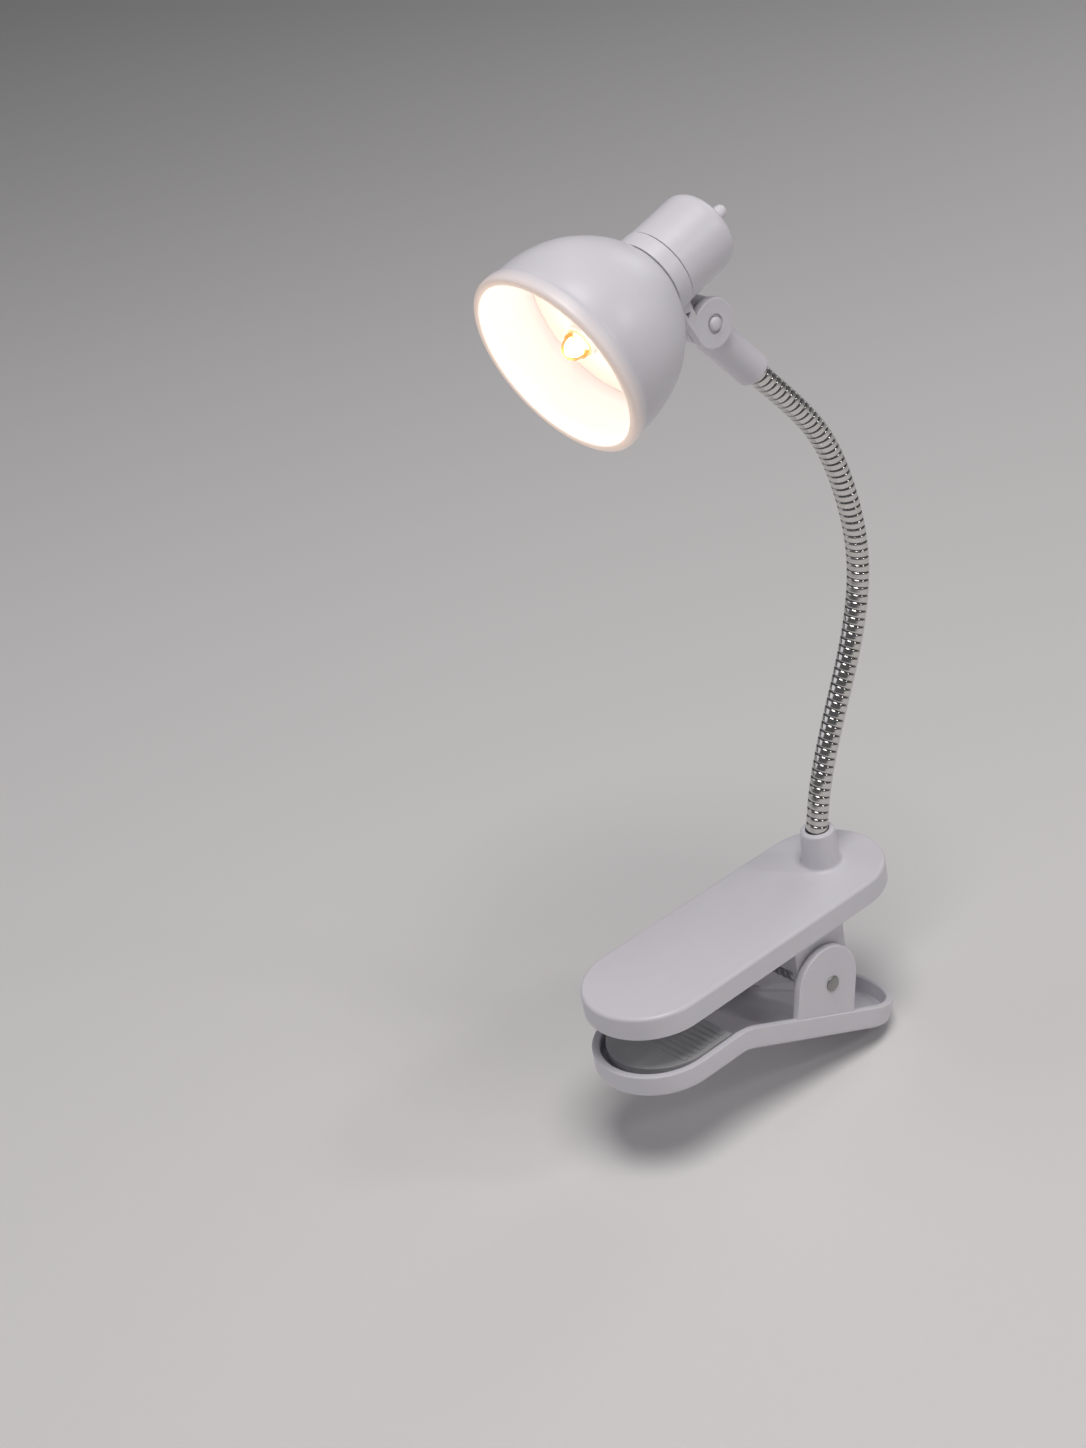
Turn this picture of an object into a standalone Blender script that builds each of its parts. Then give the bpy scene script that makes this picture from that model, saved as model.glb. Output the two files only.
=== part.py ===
"""Clip-on reading lamp: sprung clip, bending gooseneck, tilting battery head with one LED.

Lengths below are millimetres and angles degrees.  The row frame has its origin on the gripping
face of the upper jaw's pad, +Z square to the clip plate, -Y toward the plate's nose, and the
lamp is symmetrical about X = 0 except for the knuckle bracket.
"""

import math

import bmesh
import bpy
from mathutils import Matrix, Vector

MM = 0.001

# Fits
FIT_GAP = 0.3
RUNNING_GAP = 0.1
CUT_OVERRUN = 1.0

# Clip plate (upper jaw and its handle)
PLATE_LENGTH = 85.0
PLATE_WIDTH = 30.0
PLATE_DEPTH = 5.7
PLATE_WALL = 1.8
PLATE_EDGE = 0.9
NOSE_REACH = 16.5
COLLAR_FROM_TAIL = 14.3
COLLAR_HEIGHT = 9.2
COLLAR_WALL = 1.2
COLLAR_TAPER = 0.45
POST_RADIUS = 2.0
SCREW_RADIUS = 0.8
SCREW_HEAD_RADIUS = 2.5
SCREW_AHEAD_OF_PIN = 14.0
SCREW_BEHIND_PIN = 11.0
SCREW_FROM_EAR = 2.8

# Jaw pads
PAD_PROUD = 0.4
PAD_LENGTH = 26.0
PAD_FRONT_MARGIN = 3.5

# Pivot
PIN_FROM_NOSE = 55.6
PIN_DROP = 13.7
PIN_RADIUS = 1.5
PIN_HEAD_RADIUS = 1.85
PIN_HEAD_HEIGHT = 0.5
PIN_CLIP_RADIUS = 2.9
PIN_CLIP_THICKNESS = 0.5

# Lower jaw, in the open pose that grips a book of BOOK_GAP
BOOK_GAP = 9.5
HANDLE_TILT = 24.6
HANDLE_LENGTH = 31.9
PIN_ABOVE_RIM = 7.9
JAW_DEPTH = 5.3
JAW_FLOOR = 1.7
JAW_WALL = 1.8
JAW_EDGE = 0.8
JAW_BEND_RADIUS = 14.0
EAR_RADIUS = 9.2
EAR_OFFSET_Y = -1.2
EAR_OFFSET_Z = 0.6
EAR_THICKNESS = 2.0
EAR_INSET = 0.4
EAR_LEAN = 14.0

# Upper bracket
BRACKET_HALF_WIDTH = 7.8
BRACKET_WALL = 2.0
BRACKET_BASE = 2.2
WEB_HEIGHT = 8.0
BRACKET_AHEAD_OF_PIN = 18.0

# Torsion spring
SPRING_RADIUS = 3.1
SPRING_WIRE = 0.5
SPRING_TURNS = 5
SPRING_PITCH = 1.9
UPPER_LEG_ANGLE = 36.0
LOWER_LEG_ANGLE = -45.0

# Gooseneck
NECK_RADIUS = 2.55
NECK_LENGTH = 124.8
NECK_LEAN = (13.0, 25.5, 28.5, 17.5, -3.5, -17.5, -37.0, -39.5)
NECK_SEGMENTS = 10
NECK_FIRST_JOINT = 6.0
NECK_LAST_JOINT = 8.0
NECK_JOINT_GAP = 0.7
NECK_CHAMFER = 0.5
NECK_CLEARANCE = 0.25
FERRULE_WALL = 0.9
FERRULE_ROOM = 3.0
NUT_WALL = 1.6
NUT_ACCESS = 1.0

# Neck connector and knuckle
CONNECTOR_LENGTH = 21.7
CONNECTOR_WALL = 1.1
SOCKET_DEPTH = 9.0
EYE_RADIUS = 4.9
EYE_HALF_WIDTH = 3.4
EYE_CLEARANCE = 0.6
TAPER_START = 6.2
TAPER_END = 3.2
WASHER_THICKNESS = 0.5
WASHER_RADIUS = 3.9
CHEEK_THICKNESS = 2.2
CHEEK_RADIUS = 5.25
RIVET_RADIUS = 1.2
RIVET_HEAD_RADIUS = 1.4
RIVET_RECESS_RADIUS = 2.1
RIVET_RECESS_DEPTH = 0.35
KNUCKLE_NUT_RADIUS = 2.6

# Lamp head, measured along its axis from the mouth
HEAD_TILT = 73.1
KNUCKLE_ALONG = 34.5
KNUCKLE_BELOW = 14.7
MOUTH_RADIUS = 21.4
SHADE_WALL = 1.7
SHADE_LENGTH = 27.4
RIM_LIP = 2.0
COLLAR_RING_WALL = 1.35
COLLAR_RING_LENGTH = 3.7
REFLECTOR_DEPTH = 13.0
REFLECTOR_THICKNESS = 1.4
HOLDER_RADIUS = 3.6
LED_RADIUS = 2.5
LED_FLANGE_RADIUS = 2.95
LED_TIP_DEPTH = 3.6
LED_BODY_LENGTH = 3.8
LEAD_RADIUS = 0.25
LEAD_OFFSET = 1.27
LEAD_HOLE_CLEARANCE = 0.25
LEAD_SPACE = 0.38
SLEEVE_RADIUS = 7.5
SLEEVE_WALL = 1.2
SLEEVE_STAND_OFF = 2.4
SLEEVE_FLANGE_THICKNESS = 1.2
SLEEVE_FLANGE_REACH = 1.3
SPRING_ROOM = 4.0
CELL_CLEARANCE = 0.5
CELL_HEIGHT = 5.2
CELL_COUNT = 3
BOARD_THICKNESS = 1.0
BOARD_INSET = 0.7
FRONT_CONTACT_ROOM = 1.3
REAR_CONTACT_RADIUS = 4.9
REAR_CONTACT_THICKNESS = 0.4
SWITCH_RADIUS = 3.4
CAP_END = 46.35
CAP_WALL = 1.0
CAP_CLEARANCE = 0.4
CAP_END_WALL = 1.5
CAP_ROUND = 3.2
BUTTON_RADIUS = 1.45
BUTTON_FLANGE_RADIUS = 2.4
BUTTON_FLANGE_THICKNESS = 1.0
BUTTON_REACH = 5.7
BUTTON_TRAVEL = 1.2

# Facets round a turned piece
SHADE_STEPS = 44
HOUSING_STEPS = 32
SMALL_STEPS = 20
SCREW_STEPS = 12

# Derived places
PLATE_TOP = PAD_PROUD + PLATE_DEPTH
CEILING = PLATE_TOP - PLATE_WALL
TAIL_Y = PLATE_LENGTH - NOSE_REACH
COLLAR_Y = TAIL_Y - COLLAR_FROM_TAIL
COLLAR_TOP = PLATE_TOP + COLLAR_HEIGHT
PIN_Y = PIN_FROM_NOSE - NOSE_REACH
PIN_Z = PAD_PROUD - PIN_DROP
EAR_OUTER_X = PLATE_WIDTH / 2 - EAR_INSET
EAR_INNER_X = EAR_OUTER_X - EAR_THICKNESS
BRACKET_OUTER_X = EAR_INNER_X - FIT_GAP
BRACKET_INNER_X = BRACKET_OUTER_X - BRACKET_WALL
BASE_BOTTOM = CEILING - FIT_GAP - BRACKET_BASE
NECK_BORE = NECK_RADIUS + NECK_CLEARANCE
COLLAR_TOP_RADIUS = NECK_BORE + COLLAR_WALL
COLLAR_BASE_RADIUS = COLLAR_TOP_RADIUS + COLLAR_TAPER
CONNECTOR_RADIUS = NECK_BORE + CONNECTOR_WALL
NUT_RADIUS = NECK_BORE + NUT_WALL
CELL_RADIUS = SLEEVE_RADIUS - SLEEVE_WALL - CELL_CLEARANCE
COLLAR_RING_RADIUS = SLEEVE_RADIUS + FIT_GAP + COLLAR_RING_WALL
CAP_INNER_RADIUS = SLEEVE_RADIUS + CAP_CLEARANCE
CAP_RADIUS = CAP_INNER_RADIUS + CAP_WALL
JAW_RIM_FRONT = -BOOK_GAP - PAD_PROUD
CHEEK_INNER_X = EYE_HALF_WIDTH + WASHER_THICKNESS + FIT_GAP
CHEEK_OUTER_X = CHEEK_INNER_X + CHEEK_THICKNESS


def sin_deg(angle):
    return math.sin(math.radians(angle))


def cos_deg(angle):
    return math.cos(math.radians(angle))


# --- materials -------------------------------------------------------------------------------

def material(name, colour, roughness, metallic=0.0, transmission=0.0):
    made = bpy.data.materials.new(name)
    made.use_nodes = True
    shader = made.node_tree.nodes["Principled BSDF"]
    shader.inputs["Base Color"].default_value = (*colour, 1.0)
    shader.inputs["Roughness"].default_value = roughness
    shader.inputs["Metallic"].default_value = metallic
    shader.inputs["Transmission Weight"].default_value = transmission
    made.diffuse_color = (*colour, 1.0)
    return made


def lamp_materials():
    return {
        "white_shell": material("white_shell", (0.80, 0.79, 0.82), 0.32),
        "white_inner": material("white_inner", (0.86, 0.85, 0.83), 0.45),
        "pad_rubber": material("pad_rubber", (0.52, 0.52, 0.53), 0.75),
        "pin_steel": material("pin_steel", (0.55, 0.55, 0.54), 0.35, metallic=1.0),
        "spring_steel": material("spring_steel", (0.42, 0.42, 0.43), 0.3, metallic=1.0),
        "neck_chrome": material("neck_chrome", (0.78, 0.77, 0.75), 0.16, metallic=1.0),
        "led_resin": material("led_resin", (1.0, 0.86, 0.62), 0.08, transmission=0.6),
        "board_green": material("board_green", (0.05, 0.24, 0.11), 0.5),
        "contact_nickel": material("contact_nickel", (0.66, 0.64, 0.6), 0.28, metallic=1.0),
        "cell_steel": material("cell_steel", (0.7, 0.7, 0.71), 0.22, metallic=1.0),
        "resistor_body": material("resistor_body", (0.62, 0.5, 0.33), 0.5),
        "switch_black": material("switch_black", (0.03, 0.03, 0.035), 0.45),
    }


# --- mesh helpers ----------------------------------------------------------------------------

def clear_scene():
    for obj in list(bpy.data.objects):
        bpy.data.objects.remove(obj, do_unlink=True)


def finish(name, mesh, shade, origin=(0.0, 0.0, 0.0), smooth=True, cutter=False):
    """Turn a millimetre bmesh into an object in metres with its origin on the given point."""
    bmesh.ops.remove_doubles(mesh, verts=mesh.verts, dist=1e-5)
    bmesh.ops.recalc_face_normals(mesh, faces=mesh.faces)
    bmesh.ops.translate(mesh, verts=mesh.verts, vec=-Vector(origin))
    bmesh.ops.scale(mesh, verts=mesh.verts, vec=(MM, MM, MM))
    data = bpy.data.meshes.new(name)
    mesh.to_mesh(data)
    mesh.free()
    obj = bpy.data.objects.new(name, data)
    bpy.context.scene.collection.objects.link(obj)
    obj.location = Vector(origin) * MM
    if shade is not None:
        data.materials.append(shade)
    if smooth:
        data.shade_smooth()
        data.set_sharp_from_angle(angle=math.radians(35))
    if cutter:
        obj.hide_render = True
        obj.display_type = "WIRE"
    return obj


def boolean(target, tools, operation):
    for tool in tools:
        change = target.modifiers.new(operation.title() + "_" + tool.name, "BOOLEAN")
        change.operation = operation
        change.solver = "EXACT"
        change.object = tool
        tool.hide_render = True
        tool.display_type = "WIRE"
        tool.parent = target
        tool.matrix_parent_inverse = Matrix.Translation(-target.location)


def cut(target, *tools):
    boolean(target, tools, "DIFFERENCE")


def join(target, *tools):
    boolean(target, tools, "UNION")


def fill_between(mesh, first, second, wrap=True):
    """Faces between two rings of vertices; a ring of one vertex is a point."""
    count = max(len(first), len(second))
    for i in range(count if wrap else count - 1):
        j = (i + 1) % count
        corners = [first[i % len(first)], first[j % len(first)]]
        corners += [second[j % len(second)], second[i % len(second)]]
        unique = list(dict.fromkeys(corners))
        if len(unique) > 2:
            mesh.faces.new(unique)


def turned(outline, steps, place=None, closed=True):
    """Turn an (along, radius) outline about local Z; a closed outline makes a ring or tube."""
    place = place or Matrix.Identity(4)
    mesh = bmesh.new()
    rings = []
    for along, radius in outline:
        count = steps if radius > 1e-6 else 1
        ring = []
        for i in range(count):
            angle = 2 * math.pi * i / steps
            point = Vector((radius * math.cos(angle), radius * math.sin(angle), along))
            ring.append(mesh.verts.new(place @ point))
        rings.append(ring)
    pairs = list(zip(rings, rings[1:]))
    if closed:
        pairs.append((rings[-1], rings[0]))
    for first, second in pairs:
        if len(first) > 1 or len(second) > 1:
            fill_between(mesh, first, second)
    return mesh


def solid_turned(outline, steps, place=None):
    """As turned, for an outline that starts and ends on the axis."""
    return turned([(outline[0][0], 0.0)] + list(outline) + [(outline[-1][0], 0.0)],
                  steps, place, closed=False)


def extruded(outline, low_x, high_x):
    """A (y, z) polygon pushed along X."""
    mesh = bmesh.new()
    ends = [[mesh.verts.new((x, y, z)) for y, z in outline] for x in (low_x, high_x)]
    fill_between(mesh, ends[0], ends[1])
    for ring in ends:
        mesh.faces.new(ring)
    return mesh


def box(low, high):
    mesh = bmesh.new()
    middle = (Vector(low) + Vector(high)) / 2
    size = Vector(high) - Vector(low)
    place = Matrix.Translation(middle) @ Matrix.Diagonal((*size, 1.0))
    bmesh.ops.create_cube(mesh, size=1.0, matrix=place)
    return mesh


def tube(points, radii, sides, first_side=Vector((1.0, 0.0, 0.0))):
    """A round bar along a path, with a radius per point and flat ends."""
    mesh = bmesh.new()
    points = [Vector(p) for p in points]
    across = first_side
    last = None
    for i, (point, radius) in enumerate(zip(points, radii)):
        ahead = points[min(i + 1, len(points) - 1)] - points[max(i - 1, 0)]
        ahead.normalize()
        across = (across - ahead * across.dot(ahead)).normalized()
        other = ahead.cross(across)
        ring = []
        for k in range(sides):
            angle = 2 * math.pi * k / sides
            offset = across * math.cos(angle) + other * math.sin(angle)
            ring.append(mesh.verts.new(point + offset * radius))
        if last is None:
            mesh.faces.new(ring)
        else:
            fill_between(mesh, last, ring)
        last = ring
    mesh.faces.new(last)
    return mesh


def pin_bar(low_x, high_x, y, z, radius, sides=SMALL_STEPS):
    return tube([(low_x, y, z), (high_x, y, z)], [radius, radius], sides, Vector((0.0, 1.0, 0.0)))


def strip_stations(start, end, half_width, inset, round_start, round_end, between, arc_steps=8):
    """(along, half width) pairs of a strip with rounded or square ends, drawn in by inset."""
    radius = half_width - inset
    angles = [90.0 * i / arc_steps for i in range(arc_steps + 1)]
    stations = []
    if round_start:
        centre = start + half_width
        stations += [(centre - radius * cos_deg(a), radius * sin_deg(a)) for a in angles]
    else:
        stations.append((start + inset, radius))
    stations += [(along, radius) for along in between]
    if round_end:
        centre = end - half_width
        stations += [(centre + radius * cos_deg(a), radius * sin_deg(a)) for a in reversed(angles)]
    else:
        stations.append((end - inset, radius))
    return stations


def lofted(layers, place):
    """Stack strip outlines: layers hold (height, stations) and place maps (x, along, height)."""
    mesh = bmesh.new()
    stack = []
    for height, stations in layers:
        row = []
        for along, half in stations:
            if half < 1e-6:
                point = mesh.verts.new(place(0.0, along, height))
                row.append((point, point))
            else:
                row.append(tuple(mesh.verts.new(place(x, along, height)) for x in (-half, half)))
        stack.append(row)
    loops = []
    for row in stack:
        left = [pair[0] for pair in row]
        right = [pair[1] for pair in reversed(row) if pair[0] is not pair[1]]
        loops.append(left + right)
    for first, second in zip(loops, loops[1:]):
        fill_between(mesh, first, second)
    for row in (stack[0], stack[-1]):
        for near, far in zip(row, row[1:]):
            corners = list(dict.fromkeys([near[0], near[1], far[1], far[0]]))
            mesh.faces.new(corners)
    return mesh


def flat_place(x, along, height):
    return Vector((x, along, height))


# --- frames ----------------------------------------------------------------------------------

def smooth_lean(share):
    """Lean of the neck from vertical at a share of its length, through the NECK_LEAN values."""
    last = len(NECK_LEAN) - 1
    scaled = min(max(share * last, 0.0), last - 1e-9)
    i = int(scaled)
    f = scaled - i
    a = NECK_LEAN[max(i - 1, 0)]
    b = NECK_LEAN[i]
    c = NECK_LEAN[i + 1]
    d = NECK_LEAN[min(i + 2, last)]
    curve = 2 * b + (c - a) * f + (2 * a - 5 * b + 4 * c - d) * f ** 2
    return 0.5 * (curve + (3 * b - a - 3 * c + d) * f ** 3)


def neck_path(step_count=240):
    """Points along the free neck, from the collar's mouth to the connector's end face."""
    step = NECK_LENGTH / step_count
    point = Vector((0.0, COLLAR_Y, COLLAR_TOP))
    points = [point.copy()]
    for k in range(step_count):
        lean = smooth_lean((k + 0.5) / step_count)
        point = point + Vector((0.0, sin_deg(lean), cos_deg(lean))) * step
        points.append(point.copy())
    return points


NECK_PATH = neck_path()
NECK_END = NECK_PATH[-1]
CONNECTOR_AXIS = Vector((0.0, sin_deg(NECK_LEAN[-1]), cos_deg(NECK_LEAN[-1])))
KNUCKLE = NECK_END + CONNECTOR_AXIS * CONNECTOR_LENGTH
HEAD_AXIS = Vector((0.0, sin_deg(HEAD_TILT), cos_deg(HEAD_TILT)))
HEAD_BELOW = Vector((0.0, cos_deg(HEAD_TILT), -sin_deg(HEAD_TILT)))
MOUTH = KNUCKLE - HEAD_AXIS * KNUCKLE_ALONG - HEAD_BELOW * KNUCKLE_BELOW


def head_frame():
    """Matrix with local X across, local Y below the head and local Z along its axis."""
    rows = [(1.0, 0.0, 0.0, MOUTH.x)]
    rows.append((0.0, HEAD_BELOW.y, HEAD_AXIS.y, MOUTH.y))
    rows.append((0.0, HEAD_BELOW.z, HEAD_AXIS.z, MOUTH.z))
    rows.append((0.0, 0.0, 0.0, 1.0))
    return Matrix(rows)


HEAD = head_frame()


def head_yz(along, below):
    """Row-frame (y, z) of a point in the head's middle plane."""
    point = HEAD @ Vector((0.0, below, along))
    return (point.y, point.z)


def neck_point(distance):
    """Point and direction on the neck; beyond its ends it runs straight on."""
    if distance <= 0:
        up = Vector((0.0, 0.0, 1.0))
        return NECK_PATH[0] + up * distance, up
    if distance >= NECK_LENGTH:
        return NECK_END + CONNECTOR_AXIS * (distance - NECK_LENGTH), CONNECTOR_AXIS.copy()
    scaled = distance / NECK_LENGTH * (len(NECK_PATH) - 1)
    i = min(int(scaled), len(NECK_PATH) - 2)
    start = NECK_PATH[i]
    end = NECK_PATH[i + 1]
    return start.lerp(end, scaled - i), (end - start).normalized()


def neck_joint_distances():
    """Distance along the neck of each joint between two segments."""
    count = NECK_SEGMENTS - 1
    span = NECK_LENGTH - NECK_FIRST_JOINT - NECK_LAST_JOINT
    return [NECK_FIRST_JOINT + span * i / (count - 1) for i in range(count)]


# --- clip: upper plate and its fittings ------------------------------------------------------

def plate_layer(height, inset):
    middle = [NOSE_REACH * 0.5, PIN_Y]
    stations = strip_stations(-NOSE_REACH, TAIL_Y, PLATE_WIDTH / 2, inset, True, True, middle)
    return (height, stations)


def screw_places():
    front_y = PIN_Y - SCREW_AHEAD_OF_PIN
    rear_y = PIN_Y + SCREW_BEHIND_PIN
    side = BRACKET_INNER_X - SCREW_FROM_EAR
    return [(-side, front_y), (side, front_y), (-side, rear_y), (side, rear_y)]


def collar_outline():
    base = PLATE_TOP - PLATE_WALL / 2
    return [
        (base, COLLAR_BASE_RADIUS + 1.1),
        (PLATE_TOP + 0.05, COLLAR_BASE_RADIUS + 1.1),
        (PLATE_TOP + 0.5, COLLAR_BASE_RADIUS + 0.35),
        (PLATE_TOP + 1.4, COLLAR_BASE_RADIUS),
        (COLLAR_TOP - 0.7, COLLAR_TOP_RADIUS),
        (COLLAR_TOP - 0.2, COLLAR_TOP_RADIUS - 0.2),
        (COLLAR_TOP, COLLAR_TOP_RADIUS - 0.7),
    ]


def build_upper_plate(shades):
    layers = [
        plate_layer(PLATE_TOP, PLATE_EDGE),
        plate_layer(PLATE_TOP - PLATE_EDGE * 0.3, PLATE_EDGE * 0.3),
        plate_layer(PLATE_TOP - PLATE_EDGE, 0.0),
        plate_layer(PAD_PROUD, 0.0),
        plate_layer(PAD_PROUD, PLATE_WALL),
        plate_layer(CEILING, PLATE_WALL),
    ]
    plate = finish("upper_plate", lofted(layers, flat_place), shades["white_shell"])
    at_collar = Matrix.Translation((0.0, COLLAR_Y, 0.0))
    boss = finish("collar_boss", solid_turned(collar_outline(), 32, at_collar), None, cutter=True)
    join(plate, boss)
    for number, (x, y) in enumerate(screw_places(), 1):
        place = Matrix.Translation((x, y, 0.0))
        shape = [(BASE_BOTTOM, POST_RADIUS), (CEILING + 0.6, POST_RADIUS)]
        post = finish(f"screw_post_{number}", solid_turned(shape, SCREW_STEPS, place), None, cutter=True)
        join(plate, post)
        pilot_radius = SCREW_RADIUS + FIT_GAP
        shape = [(BASE_BOTTOM - CUT_OVERRUN, pilot_radius), (CEILING, pilot_radius)]
        pilot = finish(f"screw_pilot_{number}", solid_turned(shape, SCREW_STEPS, place), None,
                       cutter=True)
        cut(plate, pilot)
    shape = [(CEILING - 2 * CUT_OVERRUN, NECK_BORE), (COLLAR_TOP + 2 * CUT_OVERRUN, NECK_BORE)]
    bore = finish("collar_bore", solid_turned(shape, 24, at_collar), None, cutter=True)
    cut(plate, bore)
    return plate


def bracket_ear_outline():
    """Side view of one bracket ear: block under the base, rounded below the pin."""
    front = PIN_Y - BRACKET_HALF_WIDTH
    rear = PIN_Y + BRACKET_HALF_WIDTH
    top = BASE_BOTTOM + BRACKET_BASE / 2
    outline = [(front, top), (front, PIN_Z)]
    for i in range(1, 12):
        angle = 180.0 + 15.0 * i
        outline.append((PIN_Y + BRACKET_HALF_WIDTH * cos_deg(angle),
                        PIN_Z + BRACKET_HALF_WIDTH * sin_deg(angle)))
    outline += [(rear, PIN_Z), (rear, PAD_PROUD - 2.6), (rear + 2.6, PAD_PROUD - 0.4)]
    outline.append((rear + 3.6, top))
    return outline


def build_upper_bracket(shades):
    half = BRACKET_OUTER_X
    front = PIN_Y - BRACKET_AHEAD_OF_PIN
    rear = TAIL_Y - PLATE_WIDTH / 2 + half
    base_top = BASE_BOTTOM + BRACKET_BASE
    stations = strip_stations(front, rear, half, 0.0, False, True, [PIN_Y])
    base = lofted([(BASE_BOTTOM, stations), (base_top, stations)], flat_place)
    bracket = finish("upper_bracket", base, shades["white_shell"])
    for number, side in enumerate((-1, 1), 1):
        low, high = sorted((side * BRACKET_INNER_X, side * BRACKET_OUTER_X))
        ear = finish(f"bracket_ear_{number}", extruded(bracket_ear_outline(), low, high), None,
                     cutter=True)
        join(bracket, ear)
    web_y = PIN_Y - BRACKET_HALF_WIDTH
    web = finish("bracket_web", box((-half + 0.5, web_y + 0.15, PAD_PROUD - WEB_HEIGHT),
                                    (half - 0.5, web_y + 0.15 + BRACKET_WALL, base_top - 0.5)),
                 None, cutter=True)
    join(bracket, web)
    for number, (x, y) in enumerate(screw_places(), 1):
        place = Matrix.Translation((x, y, 0.0))
        hole_radius = POST_RADIUS + FIT_GAP
        shape = [(BASE_BOTTOM - CUT_OVERRUN, hole_radius), (CEILING + CUT_OVERRUN, hole_radius)]
        hole = finish(f"post_hole_{number}", solid_turned(shape, SCREW_STEPS, place), None, cutter=True)
        cut(bracket, hole)
    neck_place = Matrix.Translation((0.0, COLLAR_Y, 0.0))
    access = NUT_RADIUS + NUT_ACCESS
    shape = [(BASE_BOTTOM - CUT_OVERRUN, access), (CEILING + CUT_OVERRUN, access)]
    neck_hole = finish("neck_hole", solid_turned(shape, 24, neck_place), None, cutter=True)
    bore_radius = PIN_RADIUS + RUNNING_GAP
    reach = half + CUT_OVERRUN
    pin_hole = finish("bracket_pin_hole", pin_bar(-reach, reach, PIN_Y, PIN_Z, bore_radius),
                      None, cutter=True)
    cut(bracket, neck_hole, pin_hole)
    return bracket


def build_bracket_screws(shades):
    head_top = BASE_BOTTOM - FIT_GAP
    head_low = head_top - 0.9
    for number, (x, y) in enumerate(screw_places(), 1):
        outline = [
            (head_low, SCREW_HEAD_RADIUS * 0.7),
            (head_low + 0.35, SCREW_HEAD_RADIUS),
            (head_top, SCREW_HEAD_RADIUS),
            (head_top, SCREW_RADIUS),
            (CEILING - 0.5, SCREW_RADIUS),
        ]
        place = Matrix.Translation((x, y, 0.0))
        screw = finish(f"bracket_screw_{number}", solid_turned(outline, SCREW_STEPS, place),
                       shades["pin_steel"])
        slot = finish(f"screw_slot_{number}",
                      box((x - 1.4, y - 0.25, head_low - 1.0), (x + 1.4, y + 0.25, head_low + 0.4)),
                      None, cutter=True, smooth=False)
        cut(screw, slot)


def build_upper_pad(shades):
    half = PLATE_WIDTH / 2 - PLATE_WALL - FIT_GAP
    start = -PAD_LENGTH / 2
    end = PAD_LENGTH / 2

    def layer(height, inset):
        return (height, strip_stations(start, end, half, inset, True, False, [PAD_LENGTH * 0.3]))

    layers = [layer(CEILING - FIT_GAP, 0.0), layer(0.3, 0.0), layer(0.0, 0.4)]
    return finish("upper_pad", lofted(layers, flat_place), shades["pad_rubber"])


def build_neck_root(shades):
    place = Matrix.Translation((0.0, COLLAR_Y, 0.0))
    inner = NECK_RADIUS - FERRULE_WALL
    bottom = BASE_BOTTOM - 0.8
    top = PLATE_TOP + FERRULE_ROOM - FIT_GAP
    outline = [(bottom, inner), (bottom, NECK_RADIUS), (top, NECK_RADIUS), (top, inner)]
    finish("neck_root_ferrule", turned(outline, SMALL_STEPS, place), shades["contact_nickel"])
    hexagon = 6
    nut_low = BASE_BOTTOM - 0.4
    nut_high = CEILING - FIT_GAP
    nut = finish("neck_nut", solid_turned([(nut_low, NUT_RADIUS), (nut_high, NUT_RADIUS)], hexagon, place),
                 shades["contact_nickel"], smooth=False)
    shape = [(nut_low - CUT_OVERRUN, NECK_BORE), (nut_high + CUT_OVERRUN, NECK_BORE)]
    hole = finish("nut_hole", solid_turned(shape, SMALL_STEPS, place), None, cutter=True)
    cut(nut, hole)


# --- clip: lower jaw -------------------------------------------------------------------------

def jaw_path():
    """Start, corner distance, tangent length and total length of the jaw's rim line."""
    back = Vector((0.0, cos_deg(HANDLE_TILT), -sin_deg(HANDLE_TILT)))
    up = Vector((0.0, sin_deg(HANDLE_TILT), cos_deg(HANDLE_TILT)))
    start = Vector((0.0, PIN_Y, PIN_Z)) + back * HANDLE_LENGTH - up * PIN_ABOVE_RIM
    corner = (JAW_RIM_FRONT - start.z) / sin_deg(HANDLE_TILT)
    tangent = JAW_BEND_RADIUS * math.tan(math.radians(HANDLE_TILT) / 2)
    bend = JAW_BEND_RADIUS * math.radians(HANDLE_TILT)
    corner_y = start.y - corner * cos_deg(HANDLE_TILT)
    total = (corner - tangent) + bend + (corner_y - tangent + NOSE_REACH)
    return start, corner, tangent, bend, total


JAW_START, JAW_CORNER, JAW_TANGENT, JAW_BEND, JAW_LENGTH = jaw_path()
JAW_NOSE_SIDE_START = JAW_CORNER - JAW_TANGENT + JAW_BEND


def jaw_place(x, along, height):
    """Row-frame point of a place on the bent jaw: along its rim line and above it."""
    straight = JAW_CORNER - JAW_TANGENT
    turn = 0.0
    if along > straight:
        turn = min((along - straight) / JAW_BEND, 1.0) * HANDLE_TILT
    first = min(along, straight)
    forward = Vector((0.0, -cos_deg(HANDLE_TILT), sin_deg(HANDLE_TILT)))
    point = JAW_START + forward * first
    if turn > 0.0:
        up = Vector((0.0, sin_deg(HANDLE_TILT), cos_deg(HANDLE_TILT)))
        centre = point - up * JAW_BEND_RADIUS
        lean = HANDLE_TILT - turn
        point = centre + Vector((0.0, sin_deg(lean), cos_deg(lean))) * JAW_BEND_RADIUS
    if along > JAW_NOSE_SIDE_START:
        point = point - Vector((0.0, along - JAW_NOSE_SIDE_START, 0.0))
    lean = HANDLE_TILT - turn
    up = Vector((0.0, sin_deg(lean), cos_deg(lean)))
    return point + up * height + Vector((x, 0.0, 0.0))


def jaw_layer(height, inset):
    straight = JAW_CORNER - JAW_TANGENT
    middle = [straight - 8.0, straight]
    middle += [straight + JAW_BEND * i / 5 for i in range(1, 5)]
    middle += [JAW_NOSE_SIDE_START]
    stations = strip_stations(0.0, JAW_LENGTH, PLATE_WIDTH / 2, inset, True, True, middle)
    return (height, stations)


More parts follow.
